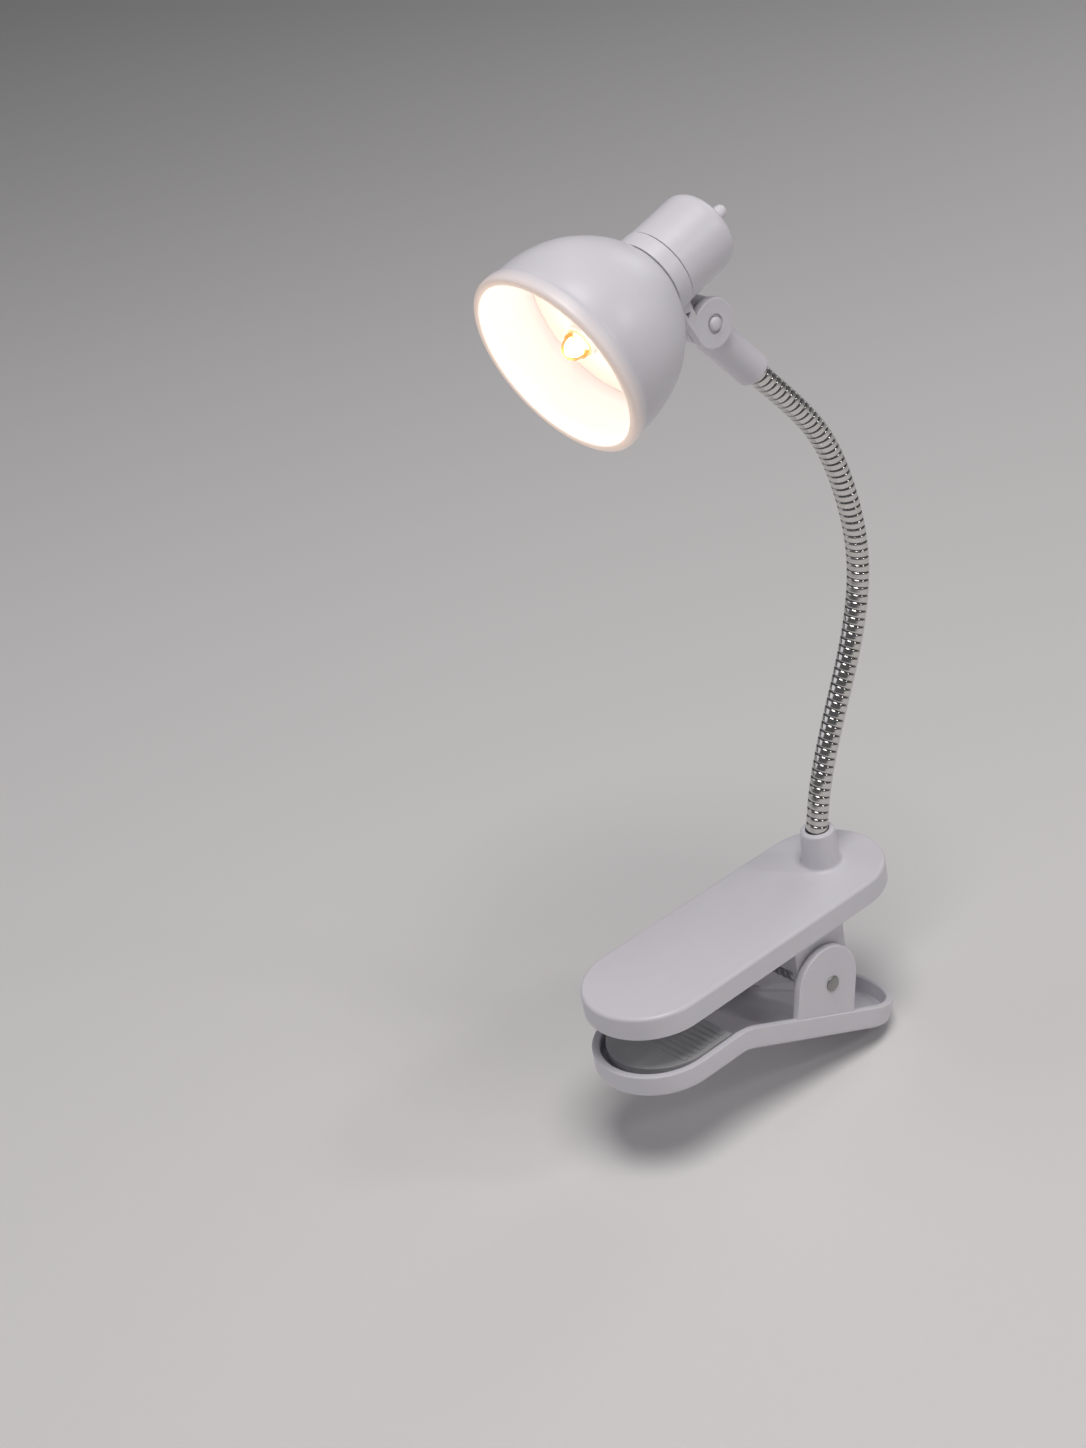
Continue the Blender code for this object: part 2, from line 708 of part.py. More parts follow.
def jaw_ear_outline():
    """Arch over the pin with sides that lean down into the tray."""
    centre_y = PIN_Y + EAR_OFFSET_Y
    centre_z = PIN_Z + EAR_OFFSET_Z
    outline = []
    for i in range(17):
        angle = -EAR_LEAN + 180.0 * i / 16
        outline.append((centre_y + EAR_RADIUS * cos_deg(angle),
                        centre_z + EAR_RADIUS * sin_deg(angle)))
    down = (-sin_deg(EAR_LEAN), -cos_deg(EAR_LEAN))
    front_drop = (PIN_ABOVE_RIM + 1.0) * 0.72
    rear_drop = (PIN_ABOVE_RIM + 1.0) * 1.62
    first = outline[0]
    last = outline[-1]
    outline.append((last[0] + down[0] * front_drop, last[1] + down[1] * front_drop))
    outline.append((first[0] + down[0] * rear_drop, first[1] + down[1] * rear_drop))
    return outline


def build_lower_jaw(shades):
    floor = -JAW_DEPTH + JAW_FLOOR
    layers = [
        jaw_layer(-JAW_DEPTH, JAW_EDGE),
        jaw_layer(-JAW_DEPTH + JAW_EDGE, 0.0),
        jaw_layer(0.0, 0.0),
        jaw_layer(0.0, JAW_WALL),
        jaw_layer(floor, JAW_WALL),
    ]
    origin = (0.0, PIN_Y, PIN_Z)
    jaw = finish("lower_jaw", lofted(layers, jaw_place), shades["white_shell"], origin)
    for number, side in enumerate((-1, 1), 1):
        low, high = sorted((side * EAR_INNER_X, side * EAR_OUTER_X))
        ear = finish(f"jaw_ear_{number}", extruded(jaw_ear_outline(), low, high), None, cutter=True)
        join(jaw, ear)
    reach = PLATE_WIDTH / 2 + 2 * CUT_OVERRUN
    hole = finish("jaw_pin_hole", pin_bar(-reach, reach, PIN_Y, PIN_Z, PIN_RADIUS + RUNNING_GAP),
                  None, cutter=True)
    cut(jaw, hole)
    return jaw


def build_lower_pad(shades):
    half = PLATE_WIDTH / 2 - JAW_WALL - FIT_GAP
    nose = JAW_LENGTH - PAD_FRONT_MARGIN
    start = max(nose - PAD_LENGTH, JAW_NOSE_SIDE_START + 0.5)
    bottom = -JAW_DEPTH + JAW_FLOOR + FIT_GAP

    def layer(height, inset):
        return (height, strip_stations(start, nose, half, inset, False, True, [start + 4.0]))

    layers = [layer(bottom, 0.0), layer(PAD_PROUD - 0.3, 0.0), layer(PAD_PROUD, 0.4)]
    return finish("lower_pad", lofted(layers, jaw_place), shades["pad_rubber"],
                  (0.0, PIN_Y, PIN_Z))


def build_pivot(shades):
    face = EAR_OUTER_X + FIT_GAP / 3
    tip = face + PIN_HEAD_HEIGHT
    place = Matrix.Translation((0.0, PIN_Y, PIN_Z)) @ Matrix.Rotation(math.pi / 2, 4, "Y")
    outline = [
        (-EAR_OUTER_X - 1.4, PIN_RADIUS - 0.3),
        (-EAR_OUTER_X - 1.1, PIN_RADIUS),
        (face, PIN_RADIUS),
        (face, PIN_HEAD_RADIUS),
        (tip - 0.15, PIN_HEAD_RADIUS),
        (tip, PIN_HEAD_RADIUS - 0.3),
    ]
    finish("pivot_pin", solid_turned(outline, SMALL_STEPS, place), shades["pin_steel"],
           (0.0, PIN_Y, PIN_Z))
    inner = PIN_RADIUS + RUNNING_GAP
    low = -EAR_OUTER_X - 0.2
    far = low - PIN_CLIP_THICKNESS
    outline = [(far, inner), (far, PIN_CLIP_RADIUS), (low, PIN_CLIP_RADIUS), (low, inner)]
    finish("pin_clip", turned(outline, SMALL_STEPS, place), shades["spring_steel"], (0.0, PIN_Y, PIN_Z))


def spring_points():
    """Wire centre line: lower leg, coils about the pin, upper leg."""
    per_turn = 12
    half_span = SPRING_TURNS * SPRING_PITCH / 2
    first_angle = LOWER_LEG_ANGLE - 90.0
    last_angle = UPPER_LEG_ANGLE + 90.0
    sweep = 360.0 * SPRING_TURNS - (first_angle - last_angle) % 360.0
    steps = int(per_turn * sweep / 360.0)
    coil = []
    for i in range(steps + 1):
        angle = first_angle - sweep * i / steps
        x = -half_span + 2 * half_span * i / steps
        coil.append(Vector((x, PIN_Y + SPRING_RADIUS * cos_deg(angle),
                            PIN_Z + SPRING_RADIUS * sin_deg(angle))))
    lower = Vector((0.0, cos_deg(LOWER_LEG_ANGLE), sin_deg(LOWER_LEG_ANGLE)))
    floor_drop = PIN_ABOVE_RIM + JAW_DEPTH - JAW_FLOOR - SPRING_WIRE - FIT_GAP
    closing = -LOWER_LEG_ANGLE - HANDLE_TILT
    lower_length = (floor_drop - SPRING_RADIUS * cos_deg(closing)) / sin_deg(closing)
    upper = Vector((0.0, cos_deg(UPPER_LEG_ANGLE), sin_deg(UPPER_LEG_ANGLE)))
    upper_length = (BASE_BOTTOM - SPRING_WIRE - FIT_GAP - coil[-1].z) / upper.z
    return [coil[0] + lower * lower_length] + coil + [coil[-1] + upper * upper_length]


def build_torsion_spring(shades):
    points = spring_points()
    mesh = tube(points, [SPRING_WIRE] * len(points), 5)
    return finish("torsion_spring", mesh, shades["spring_steel"], (0.0, PIN_Y, PIN_Z))


# --- gooseneck -------------------------------------------------------------------------------

def neck_span(start, end, start_cut, end_cut):
    """Path and radii of one neck segment, chamfered at a cut end."""
    low = start + (NECK_JOINT_GAP / 2 if start_cut else 0.0)
    high = end - (NECK_JOINT_GAP / 2 if end_cut else 0.0)
    inner = [low + (high - low) * i / 4 for i in range(1, 4)]
    distances = [low, low + NECK_CHAMFER] + inner + [high - NECK_CHAMFER, high]
    radii = [NECK_RADIUS] * len(distances)
    radii[0] = NECK_RADIUS - NECK_CHAMFER
    radii[-1] = NECK_RADIUS - NECK_CHAMFER
    return distances, radii


def build_gooseneck(shades):
    joints = neck_joint_distances()
    root = -(COLLAR_HEIGHT - FERRULE_ROOM)
    tip = NECK_LENGTH + SOCKET_DEPTH - FERRULE_ROOM
    edges = [root] + joints + [tip]
    for number in range(NECK_SEGMENTS):
        start_cut = number > 0
        end_cut = number < NECK_SEGMENTS - 1
        distances, radii = neck_span(edges[number], edges[number + 1], start_cut, end_cut)
        points = [neck_point(d)[0] for d in distances]
        origin = neck_point(edges[number])[0] if start_cut else points[0]
        finish(f"gooseneck_{number + 1:02d}", tube(points, radii, 16), shades["neck_chrome"],
               origin)


# --- connector and knuckle -------------------------------------------------------------------

def connector_frame():
    """Local Z along the connector, from its neck end toward the knuckle."""
    across = Vector((1.0, 0.0, 0.0))
    side = CONNECTOR_AXIS.cross(across)
    rows = []
    for k in range(3):
        rows.append((across[k], side[k], CONNECTOR_AXIS[k], NECK_END[k]))
    rows.append((0.0, 0.0, 0.0, 1.0))
    return Matrix(rows)


def build_connector(shades):
    place = connector_frame()
    radius = CONNECTOR_RADIUS
    outline = [
        (0.0, radius - CONNECTOR_WALL * 0.6),
        (0.25, radius - CONNECTOR_WALL * 0.3),
        (0.9, radius),
        (CONNECTOR_LENGTH - TAPER_START, radius),
        (CONNECTOR_LENGTH - TAPER_END, EYE_HALF_WIDTH - 0.4),
        (CONNECTOR_LENGTH - 0.5, EYE_HALF_WIDTH - 0.6),
    ]
    body = finish("neck_connector", solid_turned(outline, 32, place), shades["white_shell"],
                  neck_point(neck_joint_distances()[-1])[0])
    blank = EYE_HALF_WIDTH + FIT_GAP
    eye = finish("connector_eye",
                 pin_bar(-blank, blank, KNUCKLE.y, KNUCKLE.z, EYE_RADIUS, 32),
                 None, cutter=True)
    join(body, eye)
    trim = CONNECTOR_RADIUS + CUT_OVERRUN
    reach = EYE_RADIUS + EYE_CLEARANCE
    for number, side in enumerate((-1, 1), 1):
        low, high = sorted((side * EYE_HALF_WIDTH, side * trim))
        ring = finish(f"eye_relief_{number}",
                      pin_bar(low, high, KNUCKLE.y, KNUCKLE.z, reach, 32), None, cutter=True)
        cut(body, ring)
    shape = [(-2 * CUT_OVERRUN, NECK_BORE), (SOCKET_DEPTH, NECK_BORE)]
    socket = finish("connector_socket", solid_turned(shape, SMALL_STEPS, place), None, cutter=True)
    reach = EYE_HALF_WIDTH + 2 * CUT_OVERRUN
    hole = finish("connector_rivet_hole",
                  pin_bar(-reach, reach, KNUCKLE.y, KNUCKLE.z, RIVET_RADIUS + RUNNING_GAP),
                  None, cutter=True)
    cut(body, socket, hole)
    low = SOCKET_DEPTH - FERRULE_ROOM + FIT_GAP
    high = SOCKET_DEPTH - FIT_GAP
    finish("neck_top_ferrule", solid_turned([(low, NECK_RADIUS), (high, NECK_RADIUS)], 24, place),
           shades["contact_nickel"], neck_point(neck_joint_distances()[-1])[0])


def knuckle_frame():
    return Matrix.Translation(KNUCKLE) @ Matrix.Rotation(math.pi / 2, 4, "Y")


def build_knuckle_fittings(shades):
    place = knuckle_frame()
    origin = tuple(KNUCKLE)
    for name, side in (("friction_washer_far", -1), ("friction_washer_near", 1)):
        low = side * (EYE_HALF_WIDTH + FIT_GAP / 2)
        high = low + side * WASHER_THICKNESS
        inner = RIVET_RADIUS + FIT_GAP
        outline = [(low, inner), (low, WASHER_RADIUS), (high, WASHER_RADIUS), (high, inner)]
        finish(name, turned(outline, SMALL_STEPS, place), shades["contact_nickel"], origin)
    recess = CHEEK_OUTER_X - RIVET_RECESS_DEPTH
    outline = [
        (-CHEEK_OUTER_X - 1.5, RIVET_RADIUS),
        (recess + 0.15, RIVET_RADIUS),
        (recess + 0.15, RIVET_HEAD_RADIUS),
        (recess + 0.5, RIVET_HEAD_RADIUS),
        (recess + 0.9, RIVET_HEAD_RADIUS * 0.72),
        (recess + 1.05, RIVET_HEAD_RADIUS * 0.3),
    ]
    finish("knuckle_rivet", solid_turned(outline, 20, place), shades["white_shell"], origin)
    low = -CHEEK_OUTER_X - 1.3
    high = -CHEEK_OUTER_X - 0.2
    inner = RIVET_RADIUS + RUNNING_GAP
    outer = KNUCKLE_NUT_RADIUS
    outline = [(low, inner), (low, outer - 0.3), (low + 0.3, outer), (high, outer), (high, inner)]
    finish("knuckle_nut", turned(outline, SMALL_STEPS, place), shades["contact_nickel"], origin)


def arc_points(along, below, radius, first, last, steps):
    """Points of an arc in the head's middle plane; angles run from the axis toward below."""
    points = []
    for i in range(steps + 1):
        angle = first + (last - first) * i / steps
        points.append(head_yz(along + radius * cos_deg(angle), below + radius * sin_deg(angle)))
    return points


def cheek_outline(foot_start, foot_end, foot_below):
    """Round cheek about the knuckle with a foot on the collar ring."""
    first = -128.0
    last = 165.0
    points = arc_points(KNUCKLE_ALONG, KNUCKLE_BELOW, CHEEK_RADIUS, first, last, 18)
    points.append(head_yz(foot_start, foot_below))
    points.append(head_yz(foot_end, foot_below))
    return points


def build_head_collar(shades):
    start = SHADE_LENGTH + FIT_GAP
    end = start + COLLAR_RING_LENGTH
    inner = SLEEVE_RADIUS + FIT_GAP
    outline = [
        (start, inner),
        (start, COLLAR_RING_RADIUS),
        (end - 0.2, COLLAR_RING_RADIUS),
        (end, COLLAR_RING_RADIUS - 0.2),
        (end, inner),
    ]
    origin = tuple(KNUCKLE)
    collar = finish("head_collar", turned(outline, HOUSING_STEPS, HEAD), shades["white_shell"], origin)
    foot = math.sqrt((COLLAR_RING_RADIUS - 0.4) ** 2 - CHEEK_OUTER_X ** 2) - 0.3
    cheek = cheek_outline(start + 0.1, end - 0.1, foot)
    for number, side in enumerate((-1, 1), 1):
        low, high = sorted((side * CHEEK_INNER_X, side * CHEEK_OUTER_X))
        plate = finish(f"cheek_{number}", extruded(cheek, low, high), None, cutter=True)
        join(collar, plate)
    gap_y, gap_z = head_yz(start + 1.8, foot + 2.9)
    window = finish("cheek_window",
                    pin_bar(CHEEK_INNER_X - CUT_OVERRUN, CHEEK_OUTER_X + CUT_OVERRUN,
                            gap_y, gap_z, 0.9, 3),
                    None, cutter=True)
    reach = CHEEK_OUTER_X + CUT_OVERRUN
    hole = finish("cheek_rivet_hole",
                  pin_bar(-reach, reach, KNUCKLE.y, KNUCKLE.z, RIVET_RADIUS + RUNNING_GAP),
                  None, cutter=True)
    recess = finish("rivet_recess",
                    pin_bar(CHEEK_OUTER_X - RIVET_RECESS_DEPTH, reach, KNUCKLE.y, KNUCKLE.z,
                            RIVET_RECESS_RADIUS),
                    None, cutter=True)
    shape = [(start - 2 * CUT_OVERRUN, inner), (end + 2 * CUT_OVERRUN, inner)]
    bore = finish("collar_sleeve_bore", solid_turned(shape, HOUSING_STEPS, HEAD), None, cutter=True)
    cut(collar, window, hole, recess, bore)
    return collar


# --- lamp head -------------------------------------------------------------------------------

def shade_outer():
    """(along, radius) down the outside of the shade, from the rim to the collar."""
    length = SHADE_LENGTH
    mouth = MOUTH_RADIUS
    return [
        (0.0, mouth - 0.9),
        (0.25, mouth - 0.3),
        (0.9, mouth),
        (2.9, mouth),
        (3.4, mouth - 0.42),
        (length * 0.255, mouth - 0.45),
        (length * 0.375, mouth - 0.85),
        (length * 0.505, mouth - 1.75),
        (length * 0.59, mouth - 2.6),
        (length * 0.67, mouth - 3.7),
        (length * 0.73, mouth - 4.75),
        (length * 0.785, mouth - 5.8),
        (length * 0.84, mouth - 7.05),
        (length * 0.895, mouth - 8.5),
        (length * 0.935, mouth - 9.8),
        (length * 0.97, mouth - 11.2),
        (length, COLLAR_RING_RADIUS - 0.1),
    ]


def inward(outline, wall):
    """The outline moved square to itself by the wall, toward the axis and the mouth."""
    moved = []
    for i, (along, radius) in enumerate(outline):
        before = outline[max(i - 1, 0)]
        after = outline[min(i + 1, len(outline) - 1)]
        step = Vector((after[0] - before[0], after[1] - before[1])).normalized()
        moved.append((along + step.y * wall, radius - step.x * wall))
    return moved


def build_shade(shades):
    outer = shade_outer()
    body = inward(outer[6:], SHADE_WALL)
    hole = SLEEVE_RADIUS + FIT_GAP
    body = [point for point in body if point[1] > hole + 1.2]
    inner = [(0.0, MOUTH_RADIUS - RIM_LIP + 0.35), (0.5, MOUTH_RADIUS - RIM_LIP)]
    inner += [(3.4, MOUTH_RADIUS - RIM_LIP - 0.1)] + body
    back = SHADE_LENGTH - SHADE_WALL * 1.15
    outline = outer + [(SHADE_LENGTH, hole), (back, hole)] + inner[::-1]
    return finish("shade", turned(outline, SHADE_STEPS, HEAD), shades["white_shell"], tuple(KNUCKLE))


def reflector_radius():
    outer = shade_outer()
    depth = REFLECTOR_DEPTH + REFLECTOR_THICKNESS
    for (a, ra), (b, rb) in zip(outer, outer[1:]):
        if a <= depth <= b:
            radius = ra + (rb - ra) * (depth - a) / (b - a)
            return radius - SHADE_WALL * 1.12 - FIT_GAP
    return MOUTH_RADIUS * 0.7


def build_reflector(shades):
    front = REFLECTOR_DEPTH
    back = front + REFLECTOR_THICKNESS
    holder_front = LED_TIP_DEPTH + LED_BODY_LENGTH + FIT_GAP
    radius = reflector_radius()
    lead_clear = LEAD_OFFSET + LEAD_RADIUS + LEAD_SPACE
    outline = [
        (holder_front, lead_clear),
        (holder_front, HOLDER_RADIUS - 0.3),
        (holder_front + 0.3, HOLDER_RADIUS),
        (front - 0.6, HOLDER_RADIUS + 0.1),
        (front, HOLDER_RADIUS + 0.8),
        (front, radius),
        (back, radius),
        (back, lead_clear),
    ]
    return finish("reflector", turned(outline, HOUSING_STEPS, HEAD), shades["white_inner"], tuple(KNUCKLE))


def build_led(shades):
    tip = LED_TIP_DEPTH
    end = tip + LED_BODY_LENGTH
    outline = []
    for i in range(1, 5):
        angle = 22.5 * i
        outline.append((tip + LED_RADIUS * (1 - cos_deg(angle)), LED_RADIUS * sin_deg(angle)))
    outline += [(end - 0.9, LED_RADIUS), (end - 0.9, LED_FLANGE_RADIUS), (end, LED_FLANGE_RADIUS)]
    mesh = turned([(tip, 0.0)] + outline + [(end, 0.0)], SMALL_STEPS, HEAD, closed=False)
    finish("led", mesh, shades["led_resin"], tuple(KNUCKLE))
    for name, side in (("led_lead_plus", 1), ("led_lead_minus", -1)):
        place = HEAD @ Matrix.Translation((LEAD_OFFSET * side, 0.0, 0.0))
        shape = [(end + 0.1, LEAD_RADIUS), (sleeve_front() + 1.8, LEAD_RADIUS)]
        finish(name, solid_turned(shape, 8, place), shades["contact_nickel"], tuple(KNUCKLE))


def sleeve_front():
    return REFLECTOR_DEPTH + REFLECTOR_THICKNESS + SLEEVE_STAND_OFF


def board_front():
    return sleeve_front() + BOARD_INSET


def stack_start():
    """Where the first cell begins, behind the LED board and the front contact."""
    return board_front() + BOARD_THICKNESS + FRONT_CONTACT_ROOM


def stack_end():
    return stack_start() + CELL_COUNT * (CELL_HEIGHT + FIT_GAP)


def sleeve_end():
    return stack_end() + SPRING_ROOM


def build_board(shades):
    start = board_front()
    end = start + BOARD_THICKNESS
    radius = SLEEVE_RADIUS - SLEEVE_WALL - FIT_GAP
    board = finish("led_board", solid_turned([(start, radius), (end, radius)], 32, HEAD),
                   shades["board_green"], tuple(KNUCKLE))
    for number, side in enumerate((-1, 1), 1):
        place = HEAD @ Matrix.Translation((LEAD_OFFSET * side, 0.0, 0.0))
        hole_radius = LEAD_RADIUS + LEAD_HOLE_CLEARANCE
        shape = [(start - CUT_OVERRUN, hole_radius), (end + CUT_OVERRUN, hole_radius)]
        hole = finish(f"lead_hole_{number}", solid_turned(shape, 12, place), None, cutter=True)
        cut(board, hole)
    low = HEAD @ Vector((-1.6, 3.6, start - 0.8))
    high = HEAD @ Vector((1.6, 3.6, start - 0.8))
    radii = [0.45, 0.6, 0.6, 0.45]
    points = [low.lerp(high, share) for share in (0.0, 0.12, 0.88, 1.0)]
    finish("resistor", tube(points, radii, 12, Vector((0.0, 1.0, 0.0))),
           shades["resistor_body"], tuple(KNUCKLE))
    start = end + FIT_GAP
    shape = [(start, 3.2), (start + 0.3, 4.4), (start + 0.6, 4.4), (start + 0.6, 0.0)]
    mesh = turned([(start, 0.0)] + shape, 24, HEAD, closed=False)
    finish("front_contact", mesh, shades["contact_nickel"], tuple(KNUCKLE))


def build_cells(shades):
    for number in range(CELL_COUNT):
        start = stack_start() + number * (CELL_HEIGHT + FIT_GAP)
        outline = [
            (start, CELL_RADIUS - 1.0),
            (start + 0.5, CELL_RADIUS - 0.9),
            (start + 0.5, CELL_RADIUS),
            (start + CELL_HEIGHT, CELL_RADIUS),
        ]
        finish(f"button_cell_{number + 1}", solid_turned(outline, SMALL_STEPS, HEAD),
               shades["cell_steel"], tuple(KNUCKLE))


def build_sleeve(shades):
    start = sleeve_front()
    end = sleeve_end()
    inner = SLEEVE_RADIUS - SLEEVE_WALL
    flange = SHADE_LENGTH - SHADE_WALL * 1.15 - FIT_GAP
    outline = [
        (start, inner),
        (start, SLEEVE_RADIUS),
        (flange - SLEEVE_FLANGE_THICKNESS, SLEEVE_RADIUS),
        (flange - SLEEVE_FLANGE_THICKNESS, SLEEVE_RADIUS + SLEEVE_FLANGE_REACH),
        (flange, SLEEVE_RADIUS + SLEEVE_FLANGE_REACH),
        (flange, SLEEVE_RADIUS),
        (end, SLEEVE_RADIUS),
        (end, inner),
    ]
    return finish("battery_sleeve", turned(outline, HOUSING_STEPS, HEAD), shades["white_inner"],
                  tuple(KNUCKLE))


def build_rear_contacts(shades):
    wire = 0.3
    start = stack_end() + wire
    end = sleeve_end() - 0.9
    turns = 3
    steps = turns * 12
    points = []
    for i in range(steps + 1):
        share = i / steps
        angle = 2 * math.pi * turns * share
        radius = 2.2 + 1.8 * share
        along = start + (end - start) * share
        points.append(HEAD @ Vector((radius * math.cos(angle), radius * math.sin(angle), along)))
    finish("contact_spring", tube(points, [wire] * len(points), 5), shades["contact_nickel"],
           tuple(KNUCKLE))
    start = end + wire + 0.2
    radius = REAR_CONTACT_RADIUS
    mesh = solid_turned([(start, radius), (start + REAR_CONTACT_THICKNESS, radius)], 24, HEAD)
    cap_origin = tuple(HEAD @ Vector((0.0, 0.0, CAP_END)))
    finish("rear_contact", mesh, shades["contact_nickel"], cap_origin)
    start = start + REAR_CONTACT_THICKNESS + FIT_GAP
    flange = CAP_END - CAP_END_WALL - FIT_GAP - BUTTON_FLANGE_THICKNESS
    top = flange - BUTTON_TRAVEL - FIT_GAP
    radius = SWITCH_RADIUS
    mesh = solid_turned([(start, radius), (top - 0.3, radius), (top, radius - 0.3)], 24, HEAD)
    finish("switch_body", mesh, shades["switch_black"], cap_origin)


def build_cap(shades):
    start = SHADE_LENGTH + FIT_GAP + COLLAR_RING_LENGTH + FIT_GAP
    end = CAP_END
    inner = CAP_INNER_RADIUS
    end_inner = end - CAP_END_WALL
    boss = BUTTON_RADIUS + 1.15
    outline = [(start, inner), (start, CAP_RADIUS - 0.15), (start + 0.15, CAP_RADIUS)]
    for i in range(0, 5):
        angle = 22.5 * i
        outline.append((end - CAP_ROUND + CAP_ROUND * sin_deg(angle),
                        CAP_RADIUS - CAP_ROUND + CAP_ROUND * cos_deg(angle)))
    outline += [
        (end, boss),
        (end + 0.5, boss - 0.45),
        (end + 1.6, BUTTON_RADIUS + 0.45),
        (end + 1.6, BUTTON_RADIUS + RUNNING_GAP + 0.05),
        (end_inner, BUTTON_RADIUS + RUNNING_GAP + 0.05),
        (end_inner, inner - 1.6),
        (end_inner - 1.2, inner),
    ]
    cap_origin = tuple(HEAD @ Vector((0.0, 0.0, CAP_END)))
    finish("battery_cap", turned(outline, HOUSING_STEPS, HEAD), shades["white_shell"], cap_origin)


def build_button(shades):
    flange_end = CAP_END - CAP_END_WALL - FIT_GAP
    flange_start = flange_end - BUTTON_FLANGE_THICKNESS
    tip = CAP_END + BUTTON_REACH
    outline = [
        (flange_start, BUTTON_FLANGE_RADIUS),
        (flange_end, BUTTON_FLANGE_RADIUS),
        (flange_end, BUTTON_RADIUS),
    ]
    for i in range(0, 4):
        angle = 22.5 * i
        outline.append((tip - BUTTON_RADIUS + BUTTON_RADIUS * sin_deg(angle),
                        BUTTON_RADIUS * cos_deg(angle)))
    mesh = turned([(flange_start, 0.0)] + outline + [(tip, 0.0)], SMALL_STEPS, HEAD, closed=False)
    finish("switch_button", mesh, shades["white_shell"],
           tuple(HEAD @ Vector((0.0, 0.0, CAP_END))))


def build_lamp():
    clear_scene()
    shades = lamp_materials()
    build_upper_plate(shades)
    build_upper_bracket(shades)
    build_bracket_screws(shades)
    build_upper_pad(shades)
    build_neck_root(shades)
    build_lower_jaw(shades)
    build_lower_pad(shades)
    build_pivot(shades)
    build_torsion_spring(shades)
    build_gooseneck(shades)
    build_connector(shades)
    build_knuckle_fittings(shades)
    build_head_collar(shades)
    build_shade(shades)
    build_reflector(shades)
    build_led(shades)
    build_board(shades)
    build_cells(shades)
    build_sleeve(shades)
    build_rear_contacts(shades)
    build_cap(shades)
    build_button(shades)


build_lamp()
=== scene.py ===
"""Looks of the clip-on reading lamp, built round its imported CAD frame.

The pieces' lengths are millimetres.  Finishes, lights and the camera are in metres, and angles are
degrees.  The frame has its origin on the upper jaw's pad, +Z square to the clip plate and -Y toward
the plate's nose.
"""

import math

import bmesh
import bpy
from mathutils import Matrix, Vector


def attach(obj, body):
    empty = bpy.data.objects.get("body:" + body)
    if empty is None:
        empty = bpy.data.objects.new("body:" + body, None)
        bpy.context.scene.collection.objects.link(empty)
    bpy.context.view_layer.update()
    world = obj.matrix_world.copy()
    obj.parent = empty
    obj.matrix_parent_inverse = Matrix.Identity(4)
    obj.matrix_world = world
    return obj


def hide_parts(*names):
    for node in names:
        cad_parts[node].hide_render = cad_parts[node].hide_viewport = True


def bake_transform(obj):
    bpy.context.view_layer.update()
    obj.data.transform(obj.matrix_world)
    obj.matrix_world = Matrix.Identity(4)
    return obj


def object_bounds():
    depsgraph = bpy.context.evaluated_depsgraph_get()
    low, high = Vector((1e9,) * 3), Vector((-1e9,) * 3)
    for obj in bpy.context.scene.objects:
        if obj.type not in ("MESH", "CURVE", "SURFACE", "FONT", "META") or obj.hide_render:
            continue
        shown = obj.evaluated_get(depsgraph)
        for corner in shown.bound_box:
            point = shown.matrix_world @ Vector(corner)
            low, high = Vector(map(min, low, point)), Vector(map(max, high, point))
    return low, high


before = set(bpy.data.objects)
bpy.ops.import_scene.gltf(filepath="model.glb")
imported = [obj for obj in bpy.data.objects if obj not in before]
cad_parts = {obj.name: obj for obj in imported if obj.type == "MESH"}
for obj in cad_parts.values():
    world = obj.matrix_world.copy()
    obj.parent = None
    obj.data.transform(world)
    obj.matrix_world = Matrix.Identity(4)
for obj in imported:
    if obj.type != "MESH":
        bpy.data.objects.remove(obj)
CAD_LOW, CAD_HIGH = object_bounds()

MM = 0.001
FIT_GAP = 0.3
RUNNING_GAP = 0.1
WELD_METRES = 1e-6

# Clip plate, bracket and pivot
PLATE_LENGTH = 85.0
PLATE_WIDTH = 30.0
PLATE_DEPTH = 5.7
PLATE_WALL = 1.8
PLATE_EDGE = 0.9
NOSE_REACH = 16.5
COLLAR_Y = 54.2
COLLAR_HEIGHT = 9.2
COLLAR_BASE_RADIUS = 4.45
COLLAR_TOP_RADIUS = 4.0
PAD_PROUD = 0.4
PAD_LENGTH = 26.0
PAD_FRONT_MARGIN = 3.5
PAD_RIBS = 8
PIN_Y = 39.1
PIN_Z = -13.3
PIN_RADIUS = 1.5
PIN_HEAD_RADIUS = 1.85
PIN_HEAD_HEIGHT = 0.5
PIN_CLIP_RADIUS = 2.9
PIN_CLIP_THICKNESS = 0.5
PLATE_TOP = PAD_PROUD + PLATE_DEPTH
CEILING = PLATE_TOP - PLATE_WALL
TAIL_Y = PLATE_LENGTH - NOSE_REACH
COLLAR_TOP = PLATE_TOP + COLLAR_HEIGHT
BRACKET_HALF_WIDTH = 7.8
BRACKET_WALL = 2.0
BRACKET_BASE = 2.2
BRACKET_AHEAD_OF_PIN = 18.0
SCREW_RADIUS = 0.8
SCREW_HEAD_RADIUS = 2.5
SCREW_AHEAD_OF_PIN = 14.0
SCREW_BEHIND_PIN = 11.0
SCREW_FROM_EAR = 2.8
WEB_HEIGHT = 8.0
BASE_BOTTOM = CEILING - FIT_GAP - BRACKET_BASE

